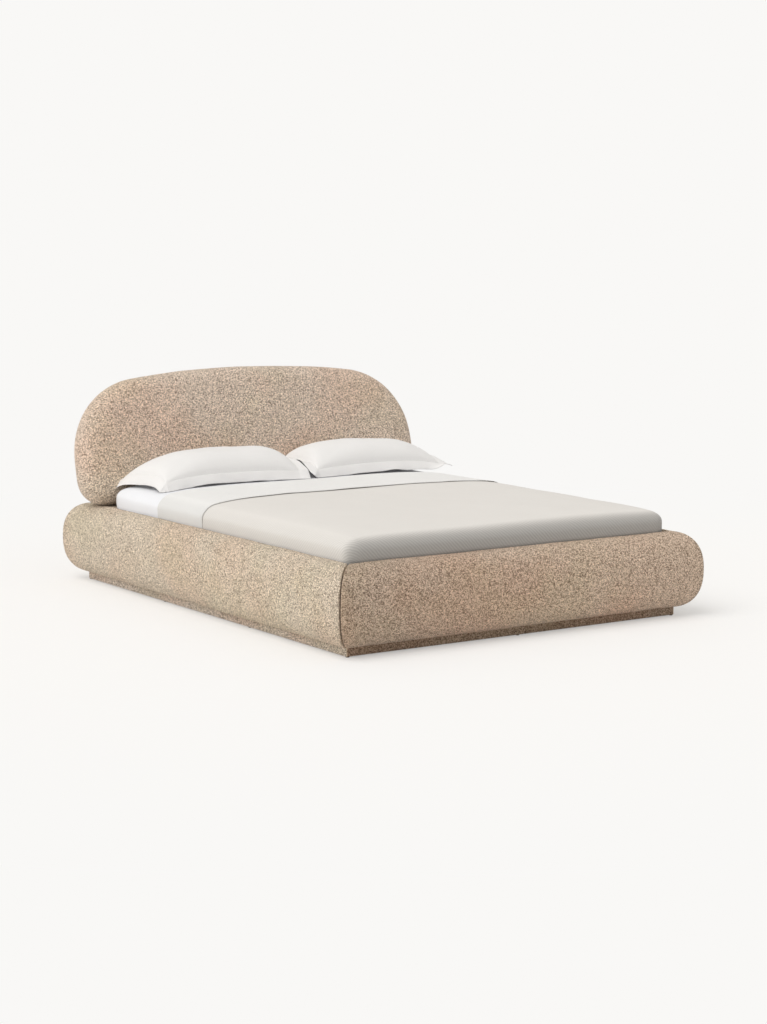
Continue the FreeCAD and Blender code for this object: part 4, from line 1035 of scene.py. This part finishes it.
# %% Drape
class Drape:
    """A flat grid with an edge path carried round three or four of its sides."""

    def __init__(self, half_x, low_y, high_y, top, path, spacing, open_head=False, fan=6):
        """The grid's points and faces, and a column of points down from each border point."""
        self.bm = bmesh.new()
        self.flat = {}
        self.path = path
        nx, ny = round(2 * half_x / spacing), round((high_y - low_y) / spacing)
        xs = [half_x * (2 * i / nx - 1) for i in range(nx + 1)]
        ys = [low_y + (high_y - low_y) * j / ny for j in range(ny + 1)]
        self.grid = [[self.point(x, y, top, (x, y)) for y in ys] for x in xs]
        for i in range(nx):
            for j in range(ny):
                self.bm.faces.new((self.grid[i][j], self.grid[i + 1][j], self.grid[i + 1][j + 1],
                                   self.grid[i][j + 1]))
        border = [(self.grid[0][j], Vector((-1, 0))) for j in range(ny, -1, -1)]
        border += self.fan(self.grid[0][0], 180, fan)
        border += [(self.grid[i][0], Vector((0, -1))) for i in range(nx + 1)]
        border += self.fan(self.grid[nx][0], 270, fan)
        border += [(self.grid[nx][j], Vector((1, 0))) for j in range(ny + 1)]
        if not open_head:
            border += self.fan(self.grid[nx][ny], 0, fan)
            border += [(self.grid[i][ny], Vector((0, 1))) for i in range(nx, -1, -1)]
            border += self.fan(self.grid[0][ny], 90, fan)
        self.columns = [self.column(start, way, top) for start, way in border]
        pairs = list(zip(self.columns, self.columns[1:]))
        if not open_head:
            pairs.append((self.columns[-1], self.columns[0]))
        for first, second in pairs:
            for row in range(len(path) - 1):
                ring = [first[row], first[row + 1], second[row + 1], second[row]]
                if ring[0] is ring[3]:
                    ring.pop()
                self.bm.faces.new(ring)

    def point(self, x, y, z, flat):
        """A new point and its place on the flat cloth."""
        made = self.bm.verts.new((x, y, z))
        self.flat[made] = flat
        return made

    def fan(self, corner, start, count):
        """Directions that turn a quarter round one corner."""
        ways = [math.radians(start + 90 * n / count) for n in range(1, count)]
        return [(corner, Vector((math.cos(way), math.sin(way)))) for way in ways]

    def column(self, start, way, top):
        """One run of points from the border down the side."""
        spots = [start]
        for flat, out, down in self.path[1:]:
            spots.append(self.point(start.co.x + way.x * out, start.co.y + way.y * out, top - down,
                                    (start.co.x + way.x * flat, start.co.y + way.y * flat)))
        return spots

    def finish(self, name, *finishes, moved):
        """Shape every point, write the flat positions as a UV map and make the object."""
        self.bm.normal_update()
        shifts = [(vert, moved(vert)) for vert in self.bm.verts]
        for vert, shift in shifts:
            vert.co += shift
        layer = self.bm.loops.layers.uv.new("cloth")
        for face in self.bm.faces:
            for loop in face.loops:
                loop[layer].uv = self.flat[loop.vert]
        return new_piece(name, self.bm, *finishes)


def wall(piece, thickness):
    """Give a sheet its thickness, half on each side."""
    made = piece.modifiers.new("cloth thickness", "SOLIDIFY")
    made.thickness = thickness
    made.offset = 0.0
    made.use_even_offset = False


def slab_drape(low, high, spacing, tuck, extra=0.0):
    """A drape round a whole block, tucked under it on all four sides."""
    wide = EDGE_OUT + extra
    path = edge_path(high[2] - low[2], tuck, extra)
    return Drape(high[0] - wide, low[1] + wide, high[1] - wide, high[2], path, spacing)


print("drape helpers ready")

# %% [markdown]
# ## Mattress
#
# The mattress is a padded block in quilted knit. It is draped like a cloth with a short tuck, and
# one face closes it underneath. The quilting is a grid of shallow diamonds: two crossing sine
# waves give the ridges, and the stitched lines between them are pulled in.

# %% Mattress
SLAB_STEP = 0.03
MATTRESS_TUCK = 0.04
DIAMOND = 0.11
QUILT_DEPTH = 0.0025
core = slab_drape(MATTRESS_LOW, MATTRESS_HIGH, SLAB_STEP, MATTRESS_TUCK)
inner_ring = [column[-1] for column in core.columns]
bottom = core.bm.faces.new(inner_ring)
bmesh.ops.triangulate(core.bm, faces=[bottom])


def quilted(vert):
    """Shallow diamonds stitched into the knit."""
    x, y = vert.co.x / DIAMOND, vert.co.y / DIAMOND
    ridge = abs(math.sin(math.pi * (x + y))) * abs(math.sin(math.pi * (x - y)))
    return settled(vert) + vert.normal * -QUILT_DEPTH * (1 - ridge)


mattress = core.finish("mattress_body", ticking, moved=quilted)
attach(mattress, "mattress")
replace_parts(mattress, "mattress")
print("mattress:", len(mattress.data.polygons), "faces")

# %% [markdown]
# ## Fitted sheet
#
# The fitted sheet is stretched over the mattress and tucked well under it. Its corners pull fine
# creases that fan out from where the elastic gathers the cloth, and its sides pucker very
# slightly. Both are small moves of the points along their normals.

# %% Fitted sheet
SHEET_TUCK = 0.12
SHEET_WALL = 0.0016
SHEET_SKIN = 0.001
CREASE = 0.0012
sheet_high = [value - SHEET_SKIN for value in SHEET_HIGH]
sheet_low = [value + SHEET_SKIN for value in SHEET_LOW]
sheet_drape = slab_drape(sheet_low, sheet_high, SLAB_STEP, SHEET_TUCK, SHEET_SKIN)


def sheet_pull(vert):
    """Slight tension lines that start at the corners, and small puckers along the sides."""
    x, y = abs(vert.co.x), vert.co.y
    near_corner = max(0.0, 1 - math.hypot(sheet_high[0] - x, sheet_high[1] - abs(y)) / 0.35)
    crease = CREASE * near_corner * math.sin(60 * math.atan2(sheet_high[1] - y, sheet_high[0] - x + 0.01))
    return settled(vert) + vert.normal * (crease * 0.5 + abs(soft_wave(vert.co, 0.11, 0.0006, 4.4)))


fitted_sheet = sheet_drape.finish("fitted_sheet_cloth", sheet_cotton, moved=sheet_pull)
wall(fitted_sheet, SHEET_WALL)
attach(fitted_sheet, "mattress")
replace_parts(fitted_sheet, "fitted_sheet")

# %% [markdown]
# ## Bedcover
#
# The cover lies over the mattress and drops behind the rails on three sides. Its head end is left
# open here, because the cloth goes on there: it is turned back over itself.

# %% Bedcover
COVER_LOW, COVER_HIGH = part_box("bedcover")
COVER_WALL = 0.0018
COVER_GAP = 0.0016
COVER_EXTRA = 0.004
COVER_STEP = 0.016
COVER_LIFT = 0.0028
cover_half = SHEET_HIGH[0] + COVER_GAP
cover_foot = SHEET_LOW[1] - COVER_GAP
cover_top = SHEET_HIGH[2] + COVER_GAP
cover_round = EDGE_OUT + COVER_EXTRA
cover_bend = EDGE_DOWN + COVER_EXTRA
fold_y = COVER_HIGH[1]
cover_path = edge_path(cover_top - COVER_LOW[2], extra=COVER_EXTRA)
cover = Drape(cover_half - cover_round, cover_foot + cover_round, fold_y, cover_top, cover_path, COVER_STEP,
              open_head=True, fan=8)
print("cover drops", round(cover_top - COVER_LOW[2], 3), "m down the sides")

# %% [markdown]
# ## The turned-back end
#
# The turned-back end is the same cloth carried round a small bend, row by row, and laid on top of
# the first layer. It lies close at the sides and a few millimetres clear on top, and its hem
# drifts up and down a little, which draws the thin shadow line across the bed. Its faces take the
# plain reverse as a second finish.

# %% Turned-back end
FOLD_WIDTH = 0.410
FOLD_RISE = 0.0046
SIDE_RISE = 0.0022
FOLD_BENDS = 6
HEM_ZONE = 0.09
HEM_SWAY = 0.006
left_edge = list(reversed(cover.columns[0]))
head_line = left_edge + [cover.grid[i][-1] for i in range(1, len(cover.grid) - 1)] + cover.columns[-1]
cover.bm.normal_update()
outward = {}
for vert in head_line:
    down = min(cover_bend, cover_top - vert.co.z)
    turn = math.acos(1 - down / cover_bend)
    outward[vert] = Vector((math.copysign(math.sin(turn), vert.co.x), 0, math.cos(turn)))


def fold_lift(vert):
    """The turned-back layer's distance from the first: full on top, close at the sides."""
    return SIDE_RISE + (FOLD_RISE - SIDE_RISE) * eased((vert.co.z - (cover_top - 0.09)) / 0.08)


base_line = [(vert.co.copy(), outward[vert], fold_lift(vert), cover.flat[vert][0]) for vert in head_line]
rows = [head_line]
for step in range(1, FOLD_BENDS):
    angle = math.pi * step / FOLD_BENDS
    row = []
    for spot, way, rise, flat_x in base_line:
        up = rise / 2 * (1 - math.cos(angle))
        row.append(cover.point(spot.x + way.x * up, spot.y + rise / 2 * math.sin(angle),
                               spot.z + way.z * up, (flat_x, fold_y + rise / 2 * angle)))
    rows.append(row)
fold_steps = round(FOLD_WIDTH / COVER_STEP)
for step in range(fold_steps + 1):
    run = FOLD_WIDTH * step / fold_steps
    row = []
    for spot, way, rise, flat_x in base_line:
        lift = rise
        if way.z > 0.5:
            near_hem = max(0.0, (run - FOLD_WIDTH + HEM_ZONE) / HEM_ZONE)
            drift = noise.noise(Vector((spot.x * 3.1, run * 4, 8.8)))
            ripple = noise.noise(Vector((spot.x * 9, run * 12, 1.1)))
            lift += near_hem * max(0.0, 0.0004 + 0.0030 * drift) + 0.0008 * ripple
        sway = HEM_SWAY * noise.noise(Vector((flat_x * 2.2, 3.3, 0.0))) * run / FOLD_WIDTH
        row.append(cover.point(spot.x + way.x * lift, spot.y - run + sway, spot.z + way.z * lift,
                               (flat_x, fold_y + run)))
    rows.append(row)
for before, after in zip(rows, rows[1:]):
    for number in range(len(before) - 1):
        face = cover.bm.faces.new((before[number], before[number + 1], after[number + 1], after[number]))
        face.material_index = 1
print("turned back by", FOLD_WIDTH, "m in", len(rows) - 1, "rows")

# %% [markdown]
# ## Settling the cover
#
# The whole cover takes the resting shape and a broad, soft undulation. One row of stitches holds
# the hem, along the second line of points from the cloth's end.

# %% Finish the bedcover
def cover_rest(vert):
    """The crowned top with a broad soft undulation that dies away down the sides."""
    calm = min(1.0, max(0.0, (vert.co.z - cover_top + cover_bend) / cover_bend))
    spot = (vert.co.x, vert.co.y, 0)
    wave = soft_wave(spot, 0.33, 0.0032, 6.6) + soft_wave(spot, 0.11, 0.0010, 2.9)
    return settled(vert) + Vector((0, 0, calm * (wave + COVER_LIFT)))


cover.bm.verts.index_update()
hem_row = [vert.index for vert in rows[-2]]
bedcover = cover.finish("bedcover_cloth", cover_face, cover_reverse, moved=cover_rest)
hem_line = []
for index, (_, way, _, _) in zip(hem_row, base_line):
    hem_line.append(bedcover.data.vertices[index].co + way * (COVER_WALL / 2 + 0.0002))
wall(bedcover, COVER_WALL)
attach(bedcover, "mattress")
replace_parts(bedcover, "bedcover")
sewn("bedcover_hem_stitches", STITCHES, hem_line, False, STITCH, cover_reverse, "mattress")

# %% [markdown]
# ## Pillows
#
# A pillowcase is two layers of cloth sewn together along a rectangle, with a flat border outside
# the seam. It starts as a grid whose lines lie close together at the seam and at the hem, where
# the cloth bends most. No point of it may lie lower than the bed under it.

# %% Pillow sizes
POCKET_HALF = (0.340, 0.172)
BORDER = 0.050
CASE_CLOTH = 0.0022
SEAM_OUT = 0.004


def bed_level(x, y):
    """The height of the sheet's upper face, which falls away past the mattress's edges."""
    level = SHEET_HIGH[2] + 0.001 + crowned(x, y)
    for beyond in (abs(x) - MATTRESS_HIGH[0] + EDGE_OUT, y - MATTRESS_HIGH[1] + EDGE_OUT):
        share = min(1.0, max(0.0, beyond / EDGE_OUT))
        level -= EDGE_DOWN * (1 - math.sqrt(1 - share * share)) + max(0.0, beyond - EDGE_OUT) * 2
    return level


def case_lines(half):
    """Grid lines across a case: close together at the seam and at the border's hem."""
    rim = [half + out for out in (0.0, 0.0015, SEAM_OUT, 0.010, 0.020, 0.030, 0.038, 0.0405, 0.045, BORDER)]
    count = round((half - 0.012) / 0.011)
    inner = [(half - 0.012) * n / count for n in range(1, count + 1)] + [half - 0.006, half - 0.002]
    side = inner + rim
    return [-value for value in reversed(side)] + [0.0] + side


print("a case has", len(case_lines(POCKET_HALF[0])), "by", len(case_lines(POCKET_HALF[1])),
      "points a layer")

# %% [markdown]
# ## How a case fills
#
# The case is filled without a cloth simulation: one function says where each point of the flat
# case comes to lie. The filling lifts the upper layer fully and presses the lower layer down. The
# seam is drawn in along each side, so the corners stand out, and the border hangs from the seam.
#
# What differs between the two pillows is written as named facts: the seed of its dents, how far it
# is turned in degrees, which end is the outer one, and how far each border droops in radians, in
# the order front, back, left and right. Then come how far the outer end splays at the front and at
# the back, how far its back sinks, how much its front corner flares out flat, and how high the
# front left corner's tip is bent up.

# %% How a case fills
FILL_UP = 0.098
FILL_DOWN = 0.060
SEAM_MIDDLE = 0.052
SEAM_CORNER = 0.024
SEAM_DRAW_X, SEAM_DRAW_Y = 0.020, 0.060
INNER_REACH = 0.011
INNER_RISE = 0.016
DENT = 0.010
SMALL_DENT = 0.002
PUCKER = 0.0016
RUFFLE = 0.35
STEEPEST = 1.2
SEAM_GROOVE = 0.0012
OUTER_POWER, INNER_POWER, DEEP_POWER = 2.7, 4.6, 2.3
FILL_ROUNDNESS = 0.52


def fullness(u, v, outer):
    """How far the filling lifts the cloth, as a share: 0 at the seam and 1 in the middle."""
    power = OUTER_POWER if u * outer > 0 else INNER_POWER
    return max(0.0, (1 - abs(u) ** power) * (1 - abs(v) ** DEEP_POWER)) ** FILL_ROUNDNESS


def border_point(seam_place, flat, out, flare, facts):
    """Where a point of the border comes to lie: it droops from its place on the seam."""
    x, y, z = seam_place
    reach = min(out.length, BORDER * 1.35)
    way = out.normalized()
    steep = facts["droop"][1 if way.y > 0 else 0] * abs(way.y)
    steep += facts["droop"][3 if way.x > 0 else 2] * abs(way.x)
    steep = min(STEEPEST, steep) * (1 - flare)
    ruffle = noise.noise(Vector((flat[0] * 11, flat[1] * 11, facts["seed"] + 9))) * RUFFLE
    steep += ruffle * reach / BORDER
    x += way.x * reach * math.cos(steep)
    y += way.y * reach * math.cos(steep)
    z -= reach * math.sin(steep) * (0.6 + 0.4 * reach / BORDER)
    corner = min(abs(out.x), abs(out.y)) / BORDER
    if out.x <= 0 and out.y <= 0:
        z += facts["tip"] * corner ** 1.5
    z -= SEAM_GROOVE if 0.001 < reach < 0.003 else 0.0
    return x, y, z


def case_point(flat_x, flat_y, upper, facts):
    """Where a point of the flat case comes to lie, seen from the pillow's middle on the bed."""
    half_x, half_y = POCKET_HALF
    seam_x = min(half_x, max(-half_x, flat_x))
    seam_y = min(half_y, max(-half_y, flat_y))
    u, v = seam_x / half_x, seam_y / half_y
    outer = facts["outer"]
    x = seam_x * (1 - SEAM_DRAW_X * (1 - v * v))
    y = seam_y * (1 - SEAM_DRAW_Y * (1 - u * u))
    splay = facts["splay"][1] * ((1 + v) / 2) ** 1.5 + facts["splay"][0] * ((1 - v) / 2) ** 1.5
    x += outer * splay * ((1 + u * outer) / 2) ** 2
    x -= outer * INNER_REACH * ((1 - u * outer) / 2) ** 2
    middle = (1 - u ** 4) * (1 - v ** 4)
    edge = max(1 - abs(u) ** 3, 1 - abs(v) ** 3)
    seam = SEAM_CORNER + (SEAM_MIDDLE - SEAM_CORNER) * edge
    seam += INNER_RISE * max(0.0, -u * outer) ** 4 - facts["sink"] * max(0.0, u * outer) ** 3 * (1 + v) / 2
    full = fullness(u, v, outer)
    dent = DENT * noise.noise(Vector((flat_x * 6, flat_y * 7, facts["seed"])))
    dent += SMALL_DENT * noise.noise(Vector((flat_x * 17, flat_y * 15, facts["seed"] + 4)))
    to_seam = min(half_x - abs(seam_x), half_y - abs(seam_y))
    along = seam_x if half_y - abs(seam_y) < half_x - abs(seam_x) else seam_y
    pucker = PUCKER * math.exp(-to_seam / 0.030) * noise.noise(Vector((along * 55, facts["seed"], 0)))
    if upper:
        z = seam + FILL_UP * full + dent * middle + pucker * min(1.0, to_seam / 0.008)
    else:
        z = seam - FILL_DOWN * full
    out = Vector((flat_x - seam_x, flat_y - seam_y))
    if out.length == 0:
        return x, y, z
    flare = facts["flare"] * max(0.0, u * outer) ** 8 * (1 - v) / 2
    return border_point((x, y, z), (flat_x, flat_y), out, flare, facts)


print("a full case rises about", round(SEAM_MIDDLE + FILL_UP, 3), "m above the bed")

# %% [markdown]
# ## Laying both layers
#
# Both layers of a case are grids of the same flat points. They are shaped by the function above,
# held clear of the bed, and joined along the hem.

# %% Lay both layers
BED_CLEARANCE = 0.0015


def lay_case(bm, middle, across, deep, facts):
    """Both layers of one case as grids of points, and each point's place on the flat cloth."""
    turn = Matrix.Rotation(math.radians(facts["turn"]), 2)
    base = SHEET_HIGH[2] + crowned(middle.x, middle.y)
    flats = {}
    layers = []
    for upper in (True, False):
        layer = []
        for flat_x in across:
            line = []
            for flat_y in deep:
                x, y, z = case_point(flat_x, flat_y, upper, facts)
                spot = middle + turn @ Vector((x, y))
                shut = abs(flat_x) >= POCKET_HALF[0] or abs(flat_y) >= POCKET_HALF[1]
                gap = CASE_CLOTH if upper else 0.0
                rest = bed_level(spot.x, spot.y) + BED_CLEARANCE + gap
                height = max(base + z - (0.0 if upper else CASE_CLOTH * shut), rest)
                made = bm.verts.new((spot.x, spot.y, height))
                flats[made] = (flat_x, flat_y)
                line.append(made)
            layer.append(line)
        layers.append(layer)
    return layers[0], layers[1], flats


def round_trip(low_i, high_i, low_j, high_j):
    """Grid places round a rectangle of a grid, once and anticlockwise."""
    places = [(i, low_j) for i in range(low_i, high_i)]
    places += [(high_i, j) for j in range(low_j, high_j)]
    places += [(i, high_j) for i in range(high_i, low_i, -1)]
    return places + [(low_i, j) for j in range(high_j, low_j, -1)]


def join_layers(bm, top, under):
    """Faces of both layers, and a narrow band that closes the case along its hem."""
    last_i, last_j = len(top) - 1, len(top[0]) - 1
    for i in range(last_i):
        for j in range(last_j):
            bm.faces.new((top[i][j], top[i + 1][j], top[i + 1][j + 1], top[i][j + 1]))
            bm.faces.new((under[i][j], under[i][j + 1], under[i + 1][j + 1], under[i + 1][j]))
    hem = round_trip(0, last_i, 0, last_j)
    for (i, j), (k, m) in zip(hem, hem[1:] + hem[:1]):
        bm.faces.new((top[i][j], under[i][j], under[k][m], top[k][m]))


print("each case lies", BED_CLEARANCE, "m clear of the bed")

# %% [markdown]
# ## Making each pillow
#
# A row of stitches follows the seam just outside the pocket, on the upper layer. The two pillows
# differ only in their facts, as two stuffed by hand do.

# %% Make the pillows
STITCH_CLEARANCE = 0.0004


def pillow(side, facts):
    """One cased pillow with its stitches."""
    low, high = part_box(f"pillowcase_{side}")
    middle = Vector(((low[0] + high[0]) / 2, (low[1] + high[1]) / 2))
    across, deep = case_lines(POCKET_HALF[0]), case_lines(POCKET_HALF[1])
    bm = bmesh.new()
    top, under, flats = lay_case(bm, middle, across, deep, facts)
    join_layers(bm, top, under)
    near_x = [across.index(sign * (POCKET_HALF[0] + SEAM_OUT)) for sign in (-1, 1)]
    near_y = [deep.index(sign * (POCKET_HALF[1] + SEAM_OUT)) for sign in (-1, 1)]
    seam_line = [top[i][j].co + Vector((0, 0, STITCH_CLEARANCE)) for i, j in round_trip(*near_x, *near_y)]
    layer = bm.loops.layers.uv.new("cloth")
    for face in bm.faces:
        for loop in face.loops:
            loop[layer].uv = flats[loop.vert]
    bmesh.ops.recalc_face_normals(bm, faces=bm.faces)
    case = new_piece(f"pillow_{side}_cased", bm, case_linen)
    sewn(f"pillow_{side}_stitches", STITCHES, seam_line, True, STITCH, case_linen, f"pillow_{side}")
    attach(case, f"pillow_{side}")
    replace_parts(case, f"pillow_{side}", f"pillowcase_{side}")
    return case


LEFT_PILLOW = {"seed": 3.7, "turn": -1.0, "outer": -1, "droop": (1.05, 0.35, 0.95, -0.15),
               "splay": (0.0, 0.050), "sink": 0.012, "flare": 0.0, "tip": 0.0}
RIGHT_PILLOW = {"seed": 8.2, "turn": 1.0, "outer": 1, "droop": (1.00, 0.35, -0.10, 0.10),
                "splay": (0.012, 0.0), "sink": 0.0, "flare": 1.0, "tip": 0.030}
pillows = [pillow("left", LEFT_PILLOW), pillow("right", RIGHT_PILLOW)]
print("pillows:", [len(case.data.polygons) for case in pillows])

# %% [markdown]
# ## Boards, slats and metal
#
# The boards, slats and fittings keep the solids they arrived with and only take a finish. Timber
# is drawn as growth rings: rings of wavering width round a distant centre, stretched a long way
# along the grain. A Mapping node turns the pattern so that it runs along each piece. Plywood
# shows broader, calmer figure and pine shows stronger rings.

# %% Timber group
GRAIN_STRETCH = 0.06
PORE_STRETCH = 0.02


def build_timber():
    """The shade and height of planed timber whose grain runs along X."""
    tree, given, out = shader_group(
        "timber",
        {"Vector": ("Vector", None), "Rings": ("Float", 60.0), "Light": ("Color", (0.8, 0.65, 0.45, 1)),
         "Dark": ("Color", (0.6, 0.42, 0.25, 1))},
        {"Color": "Color", "Height": "Float"})
    long = add(tree, "ShaderNodeMapping", {"Vector": given["Vector"], "Location": (0, 0.31, 0.17),
                                           "Scale": (GRAIN_STRETCH, 1.0, 1.0)}).outputs[0]
    waver = grain_noise(tree, long, 7.0, 3.0, 0.5)
    parts = add(tree, "ShaderNodeSeparateXYZ", {0: long}).outputs
    squares = calc(tree, "ADD", calc(tree, "POWER", parts[1], 2.0), calc(tree, "POWER", parts[2], 2.0))
    away = calc(tree, "MULTIPLY_ADD", waver, 0.09, calc(tree, "SQRT", squares))
    ring = calc(tree, "FRACT", calc(tree, "MULTIPLY", away, given["Rings"]))
    late = spread(tree, ring, 0.35, 1.0)
    fine = add(tree, "ShaderNodeMapping", {"Vector": given["Vector"],
                                           "Scale": (PORE_STRETCH, 1.0, 1.0)}).outputs[0]
    pores = grain_noise(tree, fine, 520.0, 2.0, 0.6)
    share = calc(tree, "MULTIPLY_ADD", pores, 0.35, calc(tree, "MULTIPLY", late, 0.6), clamp=True)
    tree.links.new(tint(tree, share, given["Light"], given["Dark"]), out["Color"])
    tree.links.new(calc(tree, "SUBTRACT", 1.0, share), out["Height"])
    return tree


timber_group = build_timber()
TURNS = {0: (0, 0, 0), 1: (0, 0, math.pi / 2), 2: (0, math.pi / 2, 0)}
TIMBERS = {"plywood": (38.0, (0.74, 0.60, 0.42, 1), (0.60, 0.45, 0.29, 1), 0.55),
           "pine": (85.0, (0.80, 0.64, 0.43, 1), (0.62, 0.41, 0.22, 1), 0.50),
           "birch": (55.0, (0.82, 0.71, 0.54, 1), (0.72, 0.58, 0.40, 1), 0.42)}


def timber(kind, axis):
    """A finish for one kind of timber with its grain along one axis."""
    rings, light, dark, rough = TIMBERS[kind]
    made, tree, surface = material(f"{kind}_along_{'xyz'[axis]}")
    place = add(tree, "ShaderNodeTexCoord").outputs["Object"]
    turned = add(tree, "ShaderNodeMapping", {"Vector": place, "Rotation": TURNS[axis]}).outputs[0]
    grain = use_group(tree, timber_group, {"Vector": turned, "Rings": rings, "Light": light, "Dark": dark})
    tree.links.new(grain["Color"], surface.inputs["Base Color"])
    tree.links.new(bumped(tree, grain["Height"], 0.0004, 0.5), surface.inputs["Normal"])
    surface.inputs["Roughness"].default_value = rough
    return made


print("timbers:", sorted(TIMBERS))

# %% [markdown]
# ## Metal, tape and felt
#
# The brackets are powder coated, the bolts are zinc plated, the slats are spaced by woven tapes
# and the plinth stands on felt. Each is one plain tone with a fine grain in its surface and a
# roughness that wanders a little, so that no face looks like plastic.

# %% Plain finishes
def plain_finish(name, tone, rough, metallic=0.0, scale=900.0, depth=0.00015):
    """A finish with fine surface texture: powder coat, zinc plate, tape or felt."""
    made, tree, surface = material(name)
    place = add(tree, "ShaderNodeTexCoord").outputs["Object"]
    fine = grain_noise(tree, place, scale, 2.0, 0.6)
    broad = grain_noise(tree, place, scale / 30, 2.0, 0.5)
    shade = calc(tree, "MULTIPLY_ADD", calc(tree, "SUBTRACT", broad, 0.5), 0.25, 1.0)
    tree.links.new(tint(tree, 1.0, tone, shade, "MULTIPLY"), surface.inputs["Base Color"])
    rough_here = calc(tree, "MULTIPLY_ADD", calc(tree, "SUBTRACT", fine, 0.5), 0.25, rough)
    tree.links.new(rough_here, surface.inputs["Roughness"])
    tree.links.new(bumped(tree, fine, depth, 0.6), surface.inputs["Normal"])
    surface.inputs["Metallic"].default_value = metallic
    return made


PLAIN = {"black_steel": plain_finish("powder_coat", (0.028, 0.028, 0.030, 1), 0.50),
         "zinc": plain_finish("zinc_plate", (0.62, 0.62, 0.60, 1), 0.34, 1.0, 300.0, 0.00005),
         "webbing": plain_finish("woven_tape", (0.80, 0.79, 0.75, 1), 0.85, 0.0, 1400.0, 0.0003),
         "felt": plain_finish("pressed_felt", (0.09, 0.085, 0.08, 1), 0.95, 0.0, 1100.0, 0.0006)}
print("plain finishes:", sorted(PLAIN))

# %% [markdown]
# ## Dressing the solids
#
# Every solid that no soft piece stands for takes the finish of its slot. Timber also needs to
# know which way its grain runs, which is along the longest side of its box.

# %% Dress the solids
finishes = {}
covered = {name for piece in bpy.data.objects for name in piece.get("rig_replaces", [])}
for part in frame["record"]["subparts"]:
    if part["node"] in covered:
        continue
    solid, kind = frame["nodes"][part["node"]], part["material_slot"]
    spans = [high - low for low, high in zip(*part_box(part["node"]))]
    axis = spans.index(max(spans))
    key = (kind, axis) if kind in TIMBERS else (kind, 0)
    if key not in finishes:
        finishes[key] = timber(*key) if kind in TIMBERS else PLAIN[kind]
    solid.data.materials.clear()
    solid.data.materials.append(finishes[key])
print("finishes on carried-over solids:", len(finishes))
